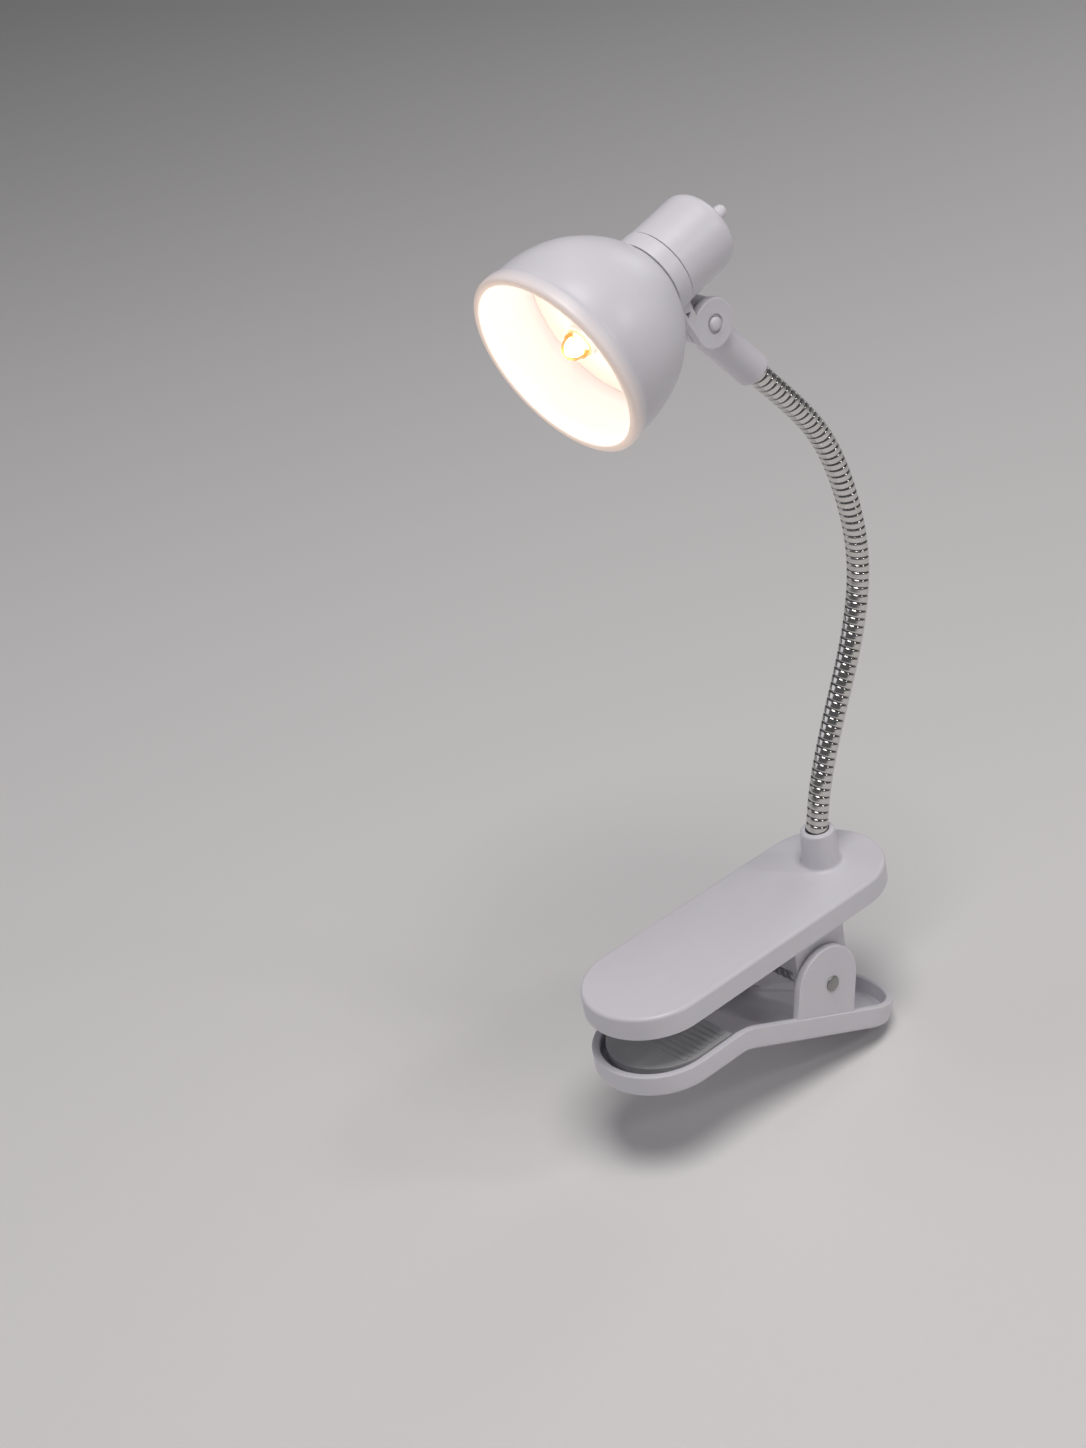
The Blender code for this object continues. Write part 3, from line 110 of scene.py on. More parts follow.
# Lower jaw
BOOK_GAP = 9.5
HANDLE_TILT = 24.6
HANDLE_LENGTH = 31.9
PIN_ABOVE_RIM = 7.9
JAW_DEPTH = 5.3
JAW_FLOOR = 1.7
JAW_WALL = 1.8
JAW_EDGE = 0.8
JAW_BEND_RADIUS = 14.0
EAR_RADIUS = 9.2
EAR_OFFSET_Y = -1.2
EAR_OFFSET_Z = 0.6
EAR_THICKNESS = 2.0
EAR_INSET = 0.4
EAR_LEAN = 14.0
JAW_RIM_FRONT = -BOOK_GAP - PAD_PROUD
EAR_OUTER_X = PLATE_WIDTH / 2 - EAR_INSET
EAR_INNER_X = EAR_OUTER_X - EAR_THICKNESS
BRACKET_OUTER_X = EAR_INNER_X - FIT_GAP
BRACKET_INNER_X = BRACKET_OUTER_X - BRACKET_WALL

# Torsion spring
SPRING_RADIUS = 3.1
SPRING_WIRE = 0.5
SPRING_TURNS = 5
SPRING_PITCH = 1.9
UPPER_LEG_ANGLE = 36.0
LOWER_LEG_ANGLE = -45.0

# Gooseneck
NECK_RADIUS = 2.55
NECK_LENGTH = 124.8
NECK_LEAN = (13.0, 25.5, 28.5, 17.5, -3.5, -17.5, -37.0, -39.5)
NECK_SEGMENTS = 10
NECK_FIRST_JOINT = 6.0
NECK_LAST_JOINT = 8.0
NECK_CLEARANCE = 0.25
NECK_BORE = NECK_RADIUS + NECK_CLEARANCE
FERRULE_ROOM = 3.0
NECK_LINE_STEP = 0.6
COIL_PITCH = 1.82
COIL_GROOVE = 0.32
COIL_STEPS = 22
# The hose across this bend is thrown out of place at one kept pose when its near body is named
# first.  Other poses can still throw a length out.
FAR_BODY_FIRST = (7,)

# Connector and knuckle
CONNECTOR_LENGTH = 21.7
CONNECTOR_RADIUS = 3.9
SOCKET_DEPTH = 9.0
EYE_RADIUS = 4.9
EYE_HALF_WIDTH = 3.4
EYE_CLEARANCE = 0.6
TAPER_START = 6.2
TAPER_END = 3.2
WASHER_THICKNESS = 0.5
CHEEK_THICKNESS = 2.2
CHEEK_RADIUS = 5.25
RIVET_RADIUS = 1.2
RIVET_HEAD_RADIUS = 1.4
RIVET_RECESS_RADIUS = 2.1
RIVET_RECESS_DEPTH = 0.35
KNUCKLE_NUT_RADIUS = 2.6
CHEEK_INNER_X = EYE_HALF_WIDTH + WASHER_THICKNESS + FIT_GAP
CHEEK_OUTER_X = CHEEK_INNER_X + CHEEK_THICKNESS

# Head
HEAD_TILT = 73.1
KNUCKLE_ALONG = 34.5
KNUCKLE_BELOW = 14.7
MOUTH_RADIUS = 21.4
SHADE_WALL = 1.7
SHADE_LENGTH = 27.4
RIM_LIP = 2.0
# How far in and how wide the shade's painted lip glow reaches, and its least strength; the glow is
# emission, painted light rather than a lamp
LIP_GLOW_DEPTH = 3.2
LIP_GLOW_SPREAD = 0.6
LIP_GLOW_LEAST = 0.25
COLLAR_RING_RADIUS = 9.15
COLLAR_RING_LENGTH = 3.7
REFLECTOR_DEPTH = 13.0
REFLECTOR_THICKNESS = 1.4
HOLDER_RADIUS = 3.6
LED_RADIUS = 2.5
LED_FLANGE_RADIUS = 2.95
LED_TIP_DEPTH = 3.6
LED_BODY_LENGTH = 3.8
SLEEVE_RADIUS = 7.5
CAP_RADIUS = 8.9
CAP_END = 46.35
CAP_END_WALL = 1.5
CAP_ROUND = 3.2
BUTTON_RADIUS = 1.45
BUTTON_REACH = 5.7
BUTTON_FLANGE_RADIUS = 2.4
BUTTON_FLANGE_THICKNESS = 1.0

# Facets
ROUND_STEPS = 160
FINE_STEPS = 64
SMALL_STEPS = 40


def sin_deg(angle):
    return math.sin(math.radians(angle))


def cos_deg(angle):
    return math.cos(math.radians(angle))


def quarter_turn(steps, first=0, last=None):
    """Sine and cosine at even steps from 0 to 90 degrees, or at some of those steps."""
    last = steps if last is None else last
    return [(sin_deg(90.0 * k / steps), cos_deg(90.0 * k / steps)) for k in range(first, last + 1)]


# --- places along the neck and in the head ---------------------------------------------------

def smooth_lean(share):
    """Lean of the neck from upright at a share of its length."""
    last = len(NECK_LEAN) - 1
    scaled = min(max(share * last, 0.0), last - 1e-9)
    i = int(scaled)
    f = scaled - i
    a = NECK_LEAN[max(i - 1, 0)]
    b = NECK_LEAN[i]
    c = NECK_LEAN[i + 1]
    d = NECK_LEAN[min(i + 2, last)]
    curve = 2 * b + (c - a) * f + (2 * a - 5 * b + 4 * c - d) * f ** 2
    return 0.5 * (curve + (3 * b - a - 3 * c + d) * f ** 3)


def neck_line(step_count=240):
    step = NECK_LENGTH / step_count
    point = Vector((0.0, COLLAR_Y, COLLAR_TOP))
    points = [point.copy()]
    for k in range(step_count):
        lean = smooth_lean((k + 0.5) / step_count)
        point = point + Vector((0.0, sin_deg(lean), cos_deg(lean))) * step
        points.append(point.copy())
    return points


NECK_PATH = neck_line()
NECK_END = NECK_PATH[-1]
CONNECTOR_AXIS = Vector((0.0, sin_deg(NECK_LEAN[-1]), cos_deg(NECK_LEAN[-1])))
KNUCKLE = NECK_END + CONNECTOR_AXIS * CONNECTOR_LENGTH
HEAD_AXIS = Vector((0.0, sin_deg(HEAD_TILT), cos_deg(HEAD_TILT)))
HEAD_BELOW = Vector((0.0, cos_deg(HEAD_TILT), -sin_deg(HEAD_TILT)))
MOUTH = KNUCKLE - HEAD_AXIS * KNUCKLE_ALONG - HEAD_BELOW * KNUCKLE_BELOW
HEAD = Matrix((
    (1.0, 0.0, 0.0, MOUTH.x),
    (0.0, HEAD_BELOW.y, HEAD_AXIS.y, MOUTH.y),
    (0.0, HEAD_BELOW.z, HEAD_AXIS.z, MOUTH.z),
    (0.0, 0.0, 0.0, 1.0),
))


def neck_point(distance):
    """Point on the neck; beyond its ends it runs straight on."""
    if distance <= 0:
        return NECK_PATH[0] + Vector((0.0, 0.0, 1.0)) * distance
    if distance >= NECK_LENGTH:
        return NECK_END + CONNECTOR_AXIS * (distance - NECK_LENGTH)
    scaled = distance / NECK_LENGTH * (len(NECK_PATH) - 1)
    i = min(int(scaled), len(NECK_PATH) - 2)
    return NECK_PATH[i].lerp(NECK_PATH[i + 1], scaled - i)


def neck_joints():
    count = NECK_SEGMENTS - 1
    span = NECK_LENGTH - NECK_FIRST_JOINT - NECK_LAST_JOINT
    return [NECK_FIRST_JOINT + span * i / (count - 1) for i in range(count)]


def head_yz(along, below):
    point = HEAD @ Vector((0.0, below, along))
    return (point.y, point.z)


# --- mesh makers -----------------------------------------------------------------------------

def fill_between(mesh, first, second):
    count = max(len(first), len(second))
    for i in range(count):
        j = (i + 1) % count
        corners = [first[i % len(first)], first[j % len(first)]]
        corners += [second[j % len(second)], second[i % len(second)]]
        unique = list(dict.fromkeys(corners))
        if len(unique) > 2:
            mesh.faces.new(unique)


def turned(outline, steps, place=None, closed=True):
    """Turn an (along, radius) outline about local Z."""
    place = place or Matrix.Identity(4)
    mesh = bmesh.new()
    rings = []
    for along, radius in outline:
        count = steps if radius > 1e-6 else 1
        ring = []
        for i in range(count):
            angle = 2 * math.pi * i / steps
            point = Vector((radius * math.cos(angle), radius * math.sin(angle), along))
            ring.append(mesh.verts.new(place @ point))
        rings.append(ring)
    pairs = list(zip(rings, rings[1:]))
    if closed:
        pairs.append((rings[-1], rings[0]))
    for first, second in pairs:
        if len(first) > 1 or len(second) > 1:
            fill_between(mesh, first, second)
    return mesh


def solid_turned(outline, steps, place=None):
    """As turned, for an outline that starts and ends on the axis."""
    ends = [(outline[0][0], 0.0)], [(outline[-1][0], 0.0)]
    return turned(ends[0] + list(outline) + ends[1], steps, place, closed=False)


def rounded(outline, radius, steps=4, closed=True):
    """Round the corners of an outline by up to the radius."""
    points = [Vector(p) for p in outline]
    count = len(points)
    made = []
    for i, corner in enumerate(points):
        if not closed and i in (0, count - 1):
            made.append(tuple(corner))
            continue
        before = points[i - 1] - corner
        after = points[(i + 1) % count] - corner
        turn = before.angle(after, math.pi)
        if math.pi - turn < math.radians(12):
            made.append(tuple(corner))
            continue
        reach = min(radius / math.tan(turn / 2), before.length * 0.45, after.length * 0.45)
        start = corner + before.normalized() * reach
        end = corner + after.normalized() * reach
        for k in range(steps + 1):
            t = k / steps
            point = start * (1 - t) ** 2 + corner * 2 * t * (1 - t) + end * t ** 2
            made.append(tuple(point))
    return made


def smooth_line(points, parts=5):
    """Catmull-Rom line through the points."""
    made = []
    for i in range(len(points) - 1):
        a = Vector(points[max(i - 1, 0)])
        b = Vector(points[i])
        c = Vector(points[i + 1])
        d = Vector(points[min(i + 2, len(points) - 1)])
        for k in range(parts):
            t = k / parts
            curve = 2 * b + (c - a) * t + (2 * a - 5 * b + 4 * c - d) * t * t
            made.append(tuple(0.5 * (curve + (3 * b - a - 3 * c + d) * t ** 3)))
    made.append(tuple(points[-1]))
    return made


def slab(outline, low_x, high_x, edge=0.0, steps=3):
    """A (y, z) polygon pushed along X, its two rims rounded by edge."""
    layers = [(low_x, 0.0), (high_x, 0.0)]
    if edge:
        layers = sorted((low_x + edge * (1 - s), edge * (1 - c)) for s, c in quarter_turn(steps))
        layers += [(low_x + high_x - x, inset) for x, inset in reversed(layers)]
    mesh = bmesh.new()
    rings = []
    for x, inset in layers:
        rings.append([mesh.verts.new((x, y, z)) for y, z in drawn_in(outline, inset)])
    for first, second in zip(rings, rings[1:]):
        fill_between(mesh, first, second)
    mesh.faces.new(rings[0])
    mesh.faces.new(rings[-1])
    return mesh


def drawn_in(outline, inset):
    """The closed outline moved inward by the inset."""
    if not inset:
        return list(outline)
    points = [Vector(p) for p in outline]
    area = sum(a.x * b.y - b.x * a.y for a, b in zip(points, points[1:] + points[:1]))
    turn = 1.0 if area > 0 else -1.0
    made = []
    for i, point in enumerate(points):
        before = (point - points[i - 1]).normalized()
        after = (points[(i + 1) % len(points)] - point).normalized()
        side = Vector((-(before.y + after.y), before.x + after.x)).normalized() * turn
        stretch = max(abs(side.dot(Vector((-before.y, before.x)))), 0.4)
        made.append(tuple(point + side * inset / stretch))
    return made


def bar(low_x, high_x, y, z, radius, steps=SMALL_STEPS):
    """A round bar along X."""
    place = Matrix.Translation((0.0, y, z)) @ Matrix.Rotation(math.pi / 2, 4, "Y")
    return solid_turned([(low_x, radius), (high_x, radius)], steps, place)


def tube(points, radius, sides):
    """A round wire through the points."""
    mesh = bmesh.new()
    across = Vector((1.0, 0.0, 0.0))
    last = None
    for i, point in enumerate(points):
        ahead = points[min(i + 1, len(points) - 1)] - points[max(i - 1, 0)]
        ahead.normalize()
        across = (across - ahead * across.dot(ahead)).normalized()
        other = ahead.cross(across)
        ring = []
        for k in range(sides):
            angle = 2 * math.pi * k / sides
            offset = across * math.cos(angle) + other * math.sin(angle)
            ring.append(mesh.verts.new(point + offset * radius))
        if last is None:
            mesh.faces.new(ring)
        else:
            fill_between(mesh, last, ring)
        last = ring
    mesh.faces.new(last)
    return mesh


def strip_stations(start, end, half_width, inset, round_start, round_end, between, arc_steps=28):
    radius = half_width - inset
    angles = [90.0 * i / arc_steps for i in range(arc_steps + 1)]
    stations = []
    if round_start:
        centre = start + half_width
        stations += [(centre - radius * cos_deg(a), radius * sin_deg(a)) for a in angles]
    else:
        stations.append((start + inset, radius))
    stations += [(along, radius) for along in between]
    if round_end:
        centre = end - half_width
        stations += [(centre + radius * cos_deg(a), radius * sin_deg(a)) for a in reversed(angles)]
    else:
        stations.append((end - inset, radius))
    return stations


def lofted(layers, place):
    """Stack strip outlines: layers hold (height, stations) and place maps (x, along, height)."""
    mesh = bmesh.new()
    stack = []
    for height, stations in layers:
        row = []
        for along, half in stations:
            if half < 1e-6:
                point = mesh.verts.new(place(0.0, along, height))
                row.append((point, point))
            else:
                row.append(tuple(mesh.verts.new(place(x, along, height)) for x in (-half, half)))
        stack.append(row)
    loops = []
    for row in stack:
        left = [pair[0] for pair in row]
        right = [pair[1] for pair in reversed(row) if pair[0] is not pair[1]]
        loops.append(left + right)
    for first, second in zip(loops, loops[1:]):
        fill_between(mesh, first, second)
    for row in (stack[0], stack[-1]):
        for near, far in zip(row, row[1:]):
            corners = list(dict.fromkeys([near[0], near[1], far[1], far[0]]))
            mesh.faces.new(corners)
    return mesh


def flat_place(x, along, height):
    return Vector((x, along, height))


def to_object(name, mesh, finish=None):
    bmesh.ops.remove_doubles(mesh, verts=mesh.verts, dist=1e-5)
    bmesh.ops.recalc_face_normals(mesh, faces=mesh.faces)
    bmesh.ops.scale(mesh, verts=mesh.verts, vec=(MM, MM, MM))
    data = bpy.data.meshes.new(name)
    mesh.to_mesh(data)
    mesh.free()
    made = bpy.data.objects.new(name, data)
    bpy.context.scene.collection.objects.link(made)
    if finish is not None:
        data.materials.append(finish)
    return made


def settle(obj):
    """Replace the object's mesh with what its modifiers make of it."""
    graph = bpy.context.evaluated_depsgraph_get()
    name = obj.data.name
    data = bpy.data.meshes.new_from_object(obj.evaluated_get(graph), depsgraph=graph)
    obj.modifiers.clear()
    obj.data = data
    data.name = name + "_mesh"


def check_closed(obj):
    """Stop on a mesh that a Boolean left open or turned inside out."""
    mesh = bmesh.new()
    mesh.from_mesh(obj.data)
    open_edges = sum(1 for edge in mesh.edges if not edge.is_manifold)
    volume = mesh.calc_volume(signed=True)
    mesh.free()
    if open_edges or volume <= 0.0:
        raise RuntimeError(f"{obj.name}: {open_edges} open edges, volume {volume:.3g}")


def weld(obj):
    """Merge the points that a Boolean leaves a hair apart."""
    mesh = bmesh.new()
    mesh.from_mesh(obj.data)
    bmesh.ops.remove_doubles(mesh, verts=mesh.verts, dist=WELD_METRES)
    mesh.to_mesh(obj.data)
    mesh.free()


def carve(target, joins=(), cuts=()):
    """Join and cut solids one at a time, dropping each tool after its turn."""
    tools = [(tool, "UNION") for tool in joins] + [(tool, "DIFFERENCE") for tool in cuts]
    for number, (tool, operation) in enumerate(tools):
        change = target.modifiers.new(f"{operation.title()}_{number}", "BOOLEAN")
        change.operation = operation
        change.solver = "EXACT"
        change.object = tool
        settle(target)
        weld(target)
        bpy.data.objects.remove(tool, do_unlink=True)
    check_closed(target)


def polish(obj, angle=32.0):
    """Smooth shading with crisp creases, and normals that favour the big faces."""
    obj.data.shade_smooth()
    obj.data.set_sharp_from_angle(angle=math.radians(angle))
    weigh = obj.modifiers.new("Weighted", "WEIGHTED_NORMAL")
    weigh.keep_sharp = True
    settle(obj)


def place_piece(obj, body, nodes):
    """Finish a piece: shading, the body it rides on and the CAD nodes it stands for."""
    polish(obj)
    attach(obj, body)
    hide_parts(*nodes)


# --- shader node groups ----------------------------------------------------------------------

def new_group(name, inputs, outputs):
    """An empty shader group with its input and output sockets."""
    tree = bpy.data.node_groups.new(name, "ShaderNodeTree")
    for label, kind, value in inputs:
        socket = tree.interface.new_socket(label, in_out="INPUT", socket_type=kind)
        if value is not None:
            socket.default_value = value
    for label, kind in outputs:
        tree.interface.new_socket(label, in_out="OUTPUT", socket_type=kind)
    into = tree.nodes.new("NodeGroupInput").outputs
    out = tree.nodes.new("NodeGroupOutput").inputs
    return tree, into, out


def wire(tree, kind, settings=None, links=None):
    """Add a node, set its fields and input values, and link its inputs."""
    node = tree.nodes.new(kind)
    for key, value in (settings or {}).items():
        if isinstance(key, str) and hasattr(node, key):
            setattr(node, key, value)
        else:
            node.inputs[key].default_value = value
    for key, source in (links or {}).items():
        tree.links.new(source, node.inputs[key])
    return node


def math_node(tree, operation, first, second=None):
    node = tree.nodes.new("ShaderNodeMath")
    node.operation = operation
    for slot, value in ((0, first), (1, second)):
        if value is None:
            continue
        if isinstance(value, (int, float)):
            node.inputs[slot].default_value = value
        else:
            tree.links.new(value, node.inputs[slot])
    return node.outputs[0]


def moulded_grain_group():
    """Fine texture and slow waviness of a moulded skin."""
    tree, source, out = new_group("Moulded grain", [
        ("Vector", "NodeSocketVector", None),
        ("Grain scale", "NodeSocketFloat", 4200.0),
        ("Wave scale", "NodeSocketFloat", 90.0),
        ("Wave share", "NodeSocketFloat", 0.5),
    ], [("Height", "NodeSocketFloat"), ("Cloud", "NodeSocketFloat")])
    grain = wire(tree, "ShaderNodeTexNoise", {"Detail": 3.0, "Roughness": 0.6},
                 {"Vector": source["Vector"], "Scale": source["Grain scale"]})
    wave = wire(tree, "ShaderNodeTexNoise", {"Detail": 2.0, "Roughness": 0.45},
                {"Vector": source["Vector"], "Scale": source["Wave scale"]})
    low = math_node(tree, "MULTIPLY", wave.outputs["Fac"], source["Wave share"])
    tree.links.new(math_node(tree, "ADD", grain.outputs["Fac"], low), out["Height"])
    tree.links.new(wave.outputs["Fac"], out["Cloud"])
    return tree


def handling_group():
    """Faint smudges and rubbed patches left by fingers."""
    tree, source, out = new_group("Handling marks", [
        ("Vector", "NodeSocketVector", None),
        ("Scale", "NodeSocketFloat", 120.0),
        ("Coverage", "NodeSocketFloat", 0.5),
    ], [("Mask", "NodeSocketFloat")])
    noise = wire(tree, "ShaderNodeTexNoise",
                 {"Detail": 5.0, "Roughness": 0.62, "Distortion": 0.8},
                 {"Vector": source["Vector"], "Scale": source["Scale"]})
    over = math_node(tree, "SUBTRACT", noise.outputs["Fac"], source["Coverage"])
    steep = math_node(tree, "MULTIPLY", over, 5.0)
    low = math_node(tree, "MAXIMUM", steep, 0.0)
    tree.links.new(math_node(tree, "MINIMUM", low, 1.0), out["Mask"])
    return tree


def scratch_group():
    """Hairline scratches along one direction."""
    tree, source, out = new_group("Hairline scratches", [
        ("Vector", "NodeSocketVector", None),
        ("Stretch", "NodeSocketVector", (3000.0, 120.0, 3000.0)),
        ("Amount", "NodeSocketFloat", 0.5),
    ], [("Mask", "NodeSocketFloat")])
    scaled = wire(tree, "ShaderNodeVectorMath", {"operation": "MULTIPLY"},
                  {0: source["Vector"], 1: source["Stretch"]})
    noise = wire(tree, "ShaderNodeTexNoise", {"Scale": 1.0, "Detail": 4.0, "Roughness": 0.7},
                 {"Vector": scaled.outputs[0]})
    high = math_node(tree, "POWER", noise.outputs["Fac"], 3.0)
    tree.links.new(math_node(tree, "MULTIPLY", high, source["Amount"]), out["Mask"])
    return tree


GRAIN = moulded_grain_group()
HANDLING = handling_group()
SCRATCHES = scratch_group()


# --- materials -------------------------------------------------------------------------------

SHEEN_GAIN = 0.07


def mix_colour(tree, factor, low, high):
    node = tree.nodes.new("ShaderNodeMix")
    node.data_type = "RGBA"
    tree.links.new(factor, node.inputs["Factor"])
    node.inputs["A"].default_value = (*low, 1.0)
    node.inputs["B"].default_value = (*high, 1.0)
    return node.outputs["Result"]


def map_range(tree, value, low, high):
    node = tree.nodes.new("ShaderNodeMapRange")
    node.inputs["To Min"].default_value = low
    node.inputs["To Max"].default_value = high
    tree.links.new(value, node.inputs["Value"])
    return node.outputs["Result"]


def start_material(name):
    made = bpy.data.materials.new(name)
    made.use_nodes = True
    tree = made.node_tree
    shader = tree.nodes["Principled BSDF"]
    place = tree.nodes.new("ShaderNodeTexCoord").outputs["Object"]
    return made, tree, shader, place


def group_node(tree, group, place, values):
    node = tree.nodes.new("ShaderNodeGroup")
    node.node_tree = group
    tree.links.new(place, node.inputs["Vector"])
    for label, value in values.items():
        node.inputs[label].default_value = value
    return node


def bump(tree, shader, height, strength, distance):
    node = tree.nodes.new("ShaderNodeBump")
    node.inputs["Strength"].default_value = strength
    node.inputs["Distance"].default_value = distance
    tree.links.new(height, node.inputs["Height"])
    tree.links.new(node.outputs["Normal"], shader.inputs["Normal"])


def moulded_plastic(name, colour, tint, rough, grain_scale, bump_depth, scatter=0.0):
    made, tree, shader, place = start_material(name)
    grain = group_node(tree, GRAIN, place, {"Grain scale": grain_scale})
    marks = group_node(tree, HANDLING, place, {"Coverage": 0.56})
    colour_out = mix_colour(tree, grain.outputs["Cloud"], colour, tint)
    tree.links.new(colour_out, shader.inputs["Base Color"])
    smooth = map_range(tree, grain.outputs["Cloud"], rough - SHEEN_GAIN / 2, rough + SHEEN_GAIN / 2)
    rubbed = math_node(tree, "MULTIPLY", marks.outputs["Mask"], -SHEEN_GAIN)
    tree.links.new(math_node(tree, "ADD", smooth, rubbed), shader.inputs["Roughness"])
    if scatter:
        shader.inputs["Subsurface Weight"].default_value = scatter
        shader.inputs["Subsurface Radius"].default_value = (1.0, 0.75, 0.6)
        shader.inputs["Subsurface Scale"].default_value = 0.0012
    bump(tree, shader, grain.outputs["Height"], 0.25, bump_depth)
    return made


def metal(name, colour, dark, rough, stretch, scratch):
    made, tree, shader, place = start_material(name)
    grain = group_node(tree, GRAIN, place, {"Grain scale": 2600.0, "Wave scale": 240.0})
    lines = group_node(tree, SCRATCHES, place, {"Stretch": stretch, "Amount": scratch})
    tree.links.new(mix_colour(tree, grain.outputs["Cloud"], dark, colour), shader.inputs["Base Color"])
    shader.inputs["Metallic"].default_value = 1.0
    base = map_range(tree, grain.outputs["Cloud"], rough * 0.75, rough * 1.3)
    tree.links.new(math_node(tree, "ADD", base, lines.outputs["Mask"]), shader.inputs["Roughness"])
    bump(tree, shader, lines.outputs["Mask"], 0.3, 0.00002)
    return made


def paint_shade_by(made, attribute, dark, full):
    """Paint shade into a material's base colour where a mesh attribute is high."""
    tree = made.node_tree
    shader = tree.nodes["Principled BSDF"]
    source = tree.nodes.new("ShaderNodeAttribute")
    source.attribute_name = attribute
    share = map_range(tree, source.outputs["Fac"], 0.0, full)
    base = shader.inputs["Base Color"].links[0].from_socket
    mix = tree.nodes.new("ShaderNodeMix")
    mix.data_type = "RGBA"
    tree.links.new(share, mix.inputs[0])
    tree.links.new(base, mix.inputs[6])
    mix.inputs[7].default_value = (*dark, 1.0)
    tree.links.new(mix.outputs[2], shader.inputs["Base Color"])
    return made


def paint_glow_by(made, attribute, colour, strength):
    """Paint a glow into a material where a mesh attribute is high: painted light standing in for the
    lamp's light coming through thin plastic.
    """
    tree = made.node_tree
    shader = tree.nodes["Principled BSDF"]
    source = tree.nodes.new("ShaderNodeAttribute")
    source.attribute_name = attribute
    tree.links.new(math_node(tree, "MULTIPLY", source.outputs["Fac"], strength),
                   shader.inputs["Emission Strength"])
    shader.inputs["Emission Color"].default_value = (*colour, 1.0)
    return made


def rubber(name):
    made, tree, shader, place = start_material(name)
    grain = group_node(tree, GRAIN, place, {"Grain scale": 3400.0, "Wave scale": 160.0})
    marks = group_node(tree, HANDLING, place, {"Scale": 240.0, "Coverage": 0.5})
    tree.links.new(mix_colour(tree, marks.outputs["Mask"], (0.50, 0.50, 0.51), (0.56, 0.555, 0.55)),
                   shader.inputs["Base Color"])
    tree.links.new(map_range(tree, grain.outputs["Cloud"], 0.62, 0.85), shader.inputs["Roughness"])
    bump(tree, shader, grain.outputs["Height"], 0.5, 0.00006)
    return made


def lit_resin(name):
    """Clear amber resin of the lens and its flange."""
    made, tree, shader, place = start_material(name)
    grain = group_node(tree, GRAIN, place, {"Grain scale": 900.0, "Wave scale": 400.0})
    tree.links.new(mix_colour(tree, grain.outputs["Cloud"], (0.88, 0.32, 0.07), (0.94, 0.46, 0.14)),
                   shader.inputs["Base Color"])
    tree.links.new(map_range(tree, grain.outputs["Cloud"], 0.03, 0.10), shader.inputs["Roughness"])
    shader.inputs["Transmission Weight"].default_value = 0.85
    shader.inputs["IOR"].default_value = 1.5
    return made


def glowing(name, colour, strength):
    made, tree, shader, place = start_material(name)
    grain = group_node(tree, GRAIN, place, {"Grain scale": 1200.0, "Wave scale": 700.0})
    tree.links.new(mix_colour(tree, grain.outputs["Cloud"], colour, (1.0, 0.97, 0.9)),
                   shader.inputs["Emission Color"])
    shader.inputs["Emission Strength"].default_value = strength
    shader.inputs["Base Color"].default_value = (*colour, 1.0)
    return made


def board(name):
    made, tree, shader, place = start_material(name)
    grain = group_node(tree, GRAIN, place, {"Grain scale": 1500.0, "Wave scale": 500.0})
    tree.links.new(mix_colour(tree, grain.outputs["Cloud"], (0.02, 0.15, 0.06), (0.05, 0.27, 0.12)),
                   shader.inputs["Base Color"])
    tree.links.new(map_range(tree, grain.outputs["Cloud"], 0.3, 0.5), shader.inputs["Roughness"])
    bump(tree, shader, grain.outputs["Height"], 0.2, 0.00003)
    return made


def white_plastic(name):
    return moulded_plastic(name, (0.70, 0.685, 0.735), (0.735, 0.72, 0.765), 0.36, 4600.0, 0.00002,
                           scatter=0.12)


def lamp_finishes():
    return {
        "white_shell": white_plastic("White ABS"),
        "white_inner": moulded_plastic("Bright reflector plastic", (0.86, 0.83, 0.78),
                                       (0.9, 0.87, 0.83), 0.42, 3800.0, 0.00002),
        "pad_rubber": rubber("Pad rubber"),
        "pin_steel": metal("Pin steel", (0.42, 0.42, 0.41), (0.28, 0.28, 0.27), 0.36,
                           (2600.0, 900.0, 900.0), 0.4),
        "spring_steel": metal("Spring steel", (0.5, 0.5, 0.5), (0.33, 0.33, 0.34), 0.3,
                              (400.0, 2400.0, 2400.0), 0.3),
        # The shade's lip gets a painted glow: emission standing in for the LED's light coming through
        # the plastic
        "painted_glow_shell": paint_glow_by(white_plastic("Lit shade ABS"), "Lip", (1.0, 0.70, 0.48), 0.55),
        # The hose plating is painted near black where Groove is high: painted shade in the creases
        # between the windings
        "neck_chrome": paint_shade_by(metal("Neck plating", (0.74, 0.73, 0.71), (0.60, 0.59, 0.57),
                                       0.13, (2400.0, 2400.0, 500.0), 0.2), "Groove",
                                 (0.012, 0.011, 0.010), 1.0),
        "led_resin": lit_resin("Lens resin"),
        "led_glow": glowing("LED die glow", (1.0, 0.9, 0.72), 14.0),
        "board_green": board("Board green"),
        "contact_nickel": metal("Contact nickel", (0.68, 0.65, 0.6), (0.52, 0.5, 0.46), 0.26,
                                (1800.0, 1800.0, 1800.0), 0.3),
        "cell_steel": metal("Cell steel", (0.72, 0.72, 0.73), (0.58, 0.58, 0.6), 0.2,
                            (2600.0, 600.0, 2600.0), 0.35),
        "resistor_body": moulded_plastic("Resistor lacquer", (0.58, 0.46, 0.3), (0.66, 0.54, 0.37),
                                         0.4, 2600.0, 0.00003),
        "switch_black": moulded_plastic("Switch black", (0.022, 0.022, 0.025),
                                        (0.035, 0.035, 0.04), 0.42, 3000.0, 0.00003),
    }


FINISH = lamp_finishes()


# --- geometry node trees ---------------------------------------------------------------------

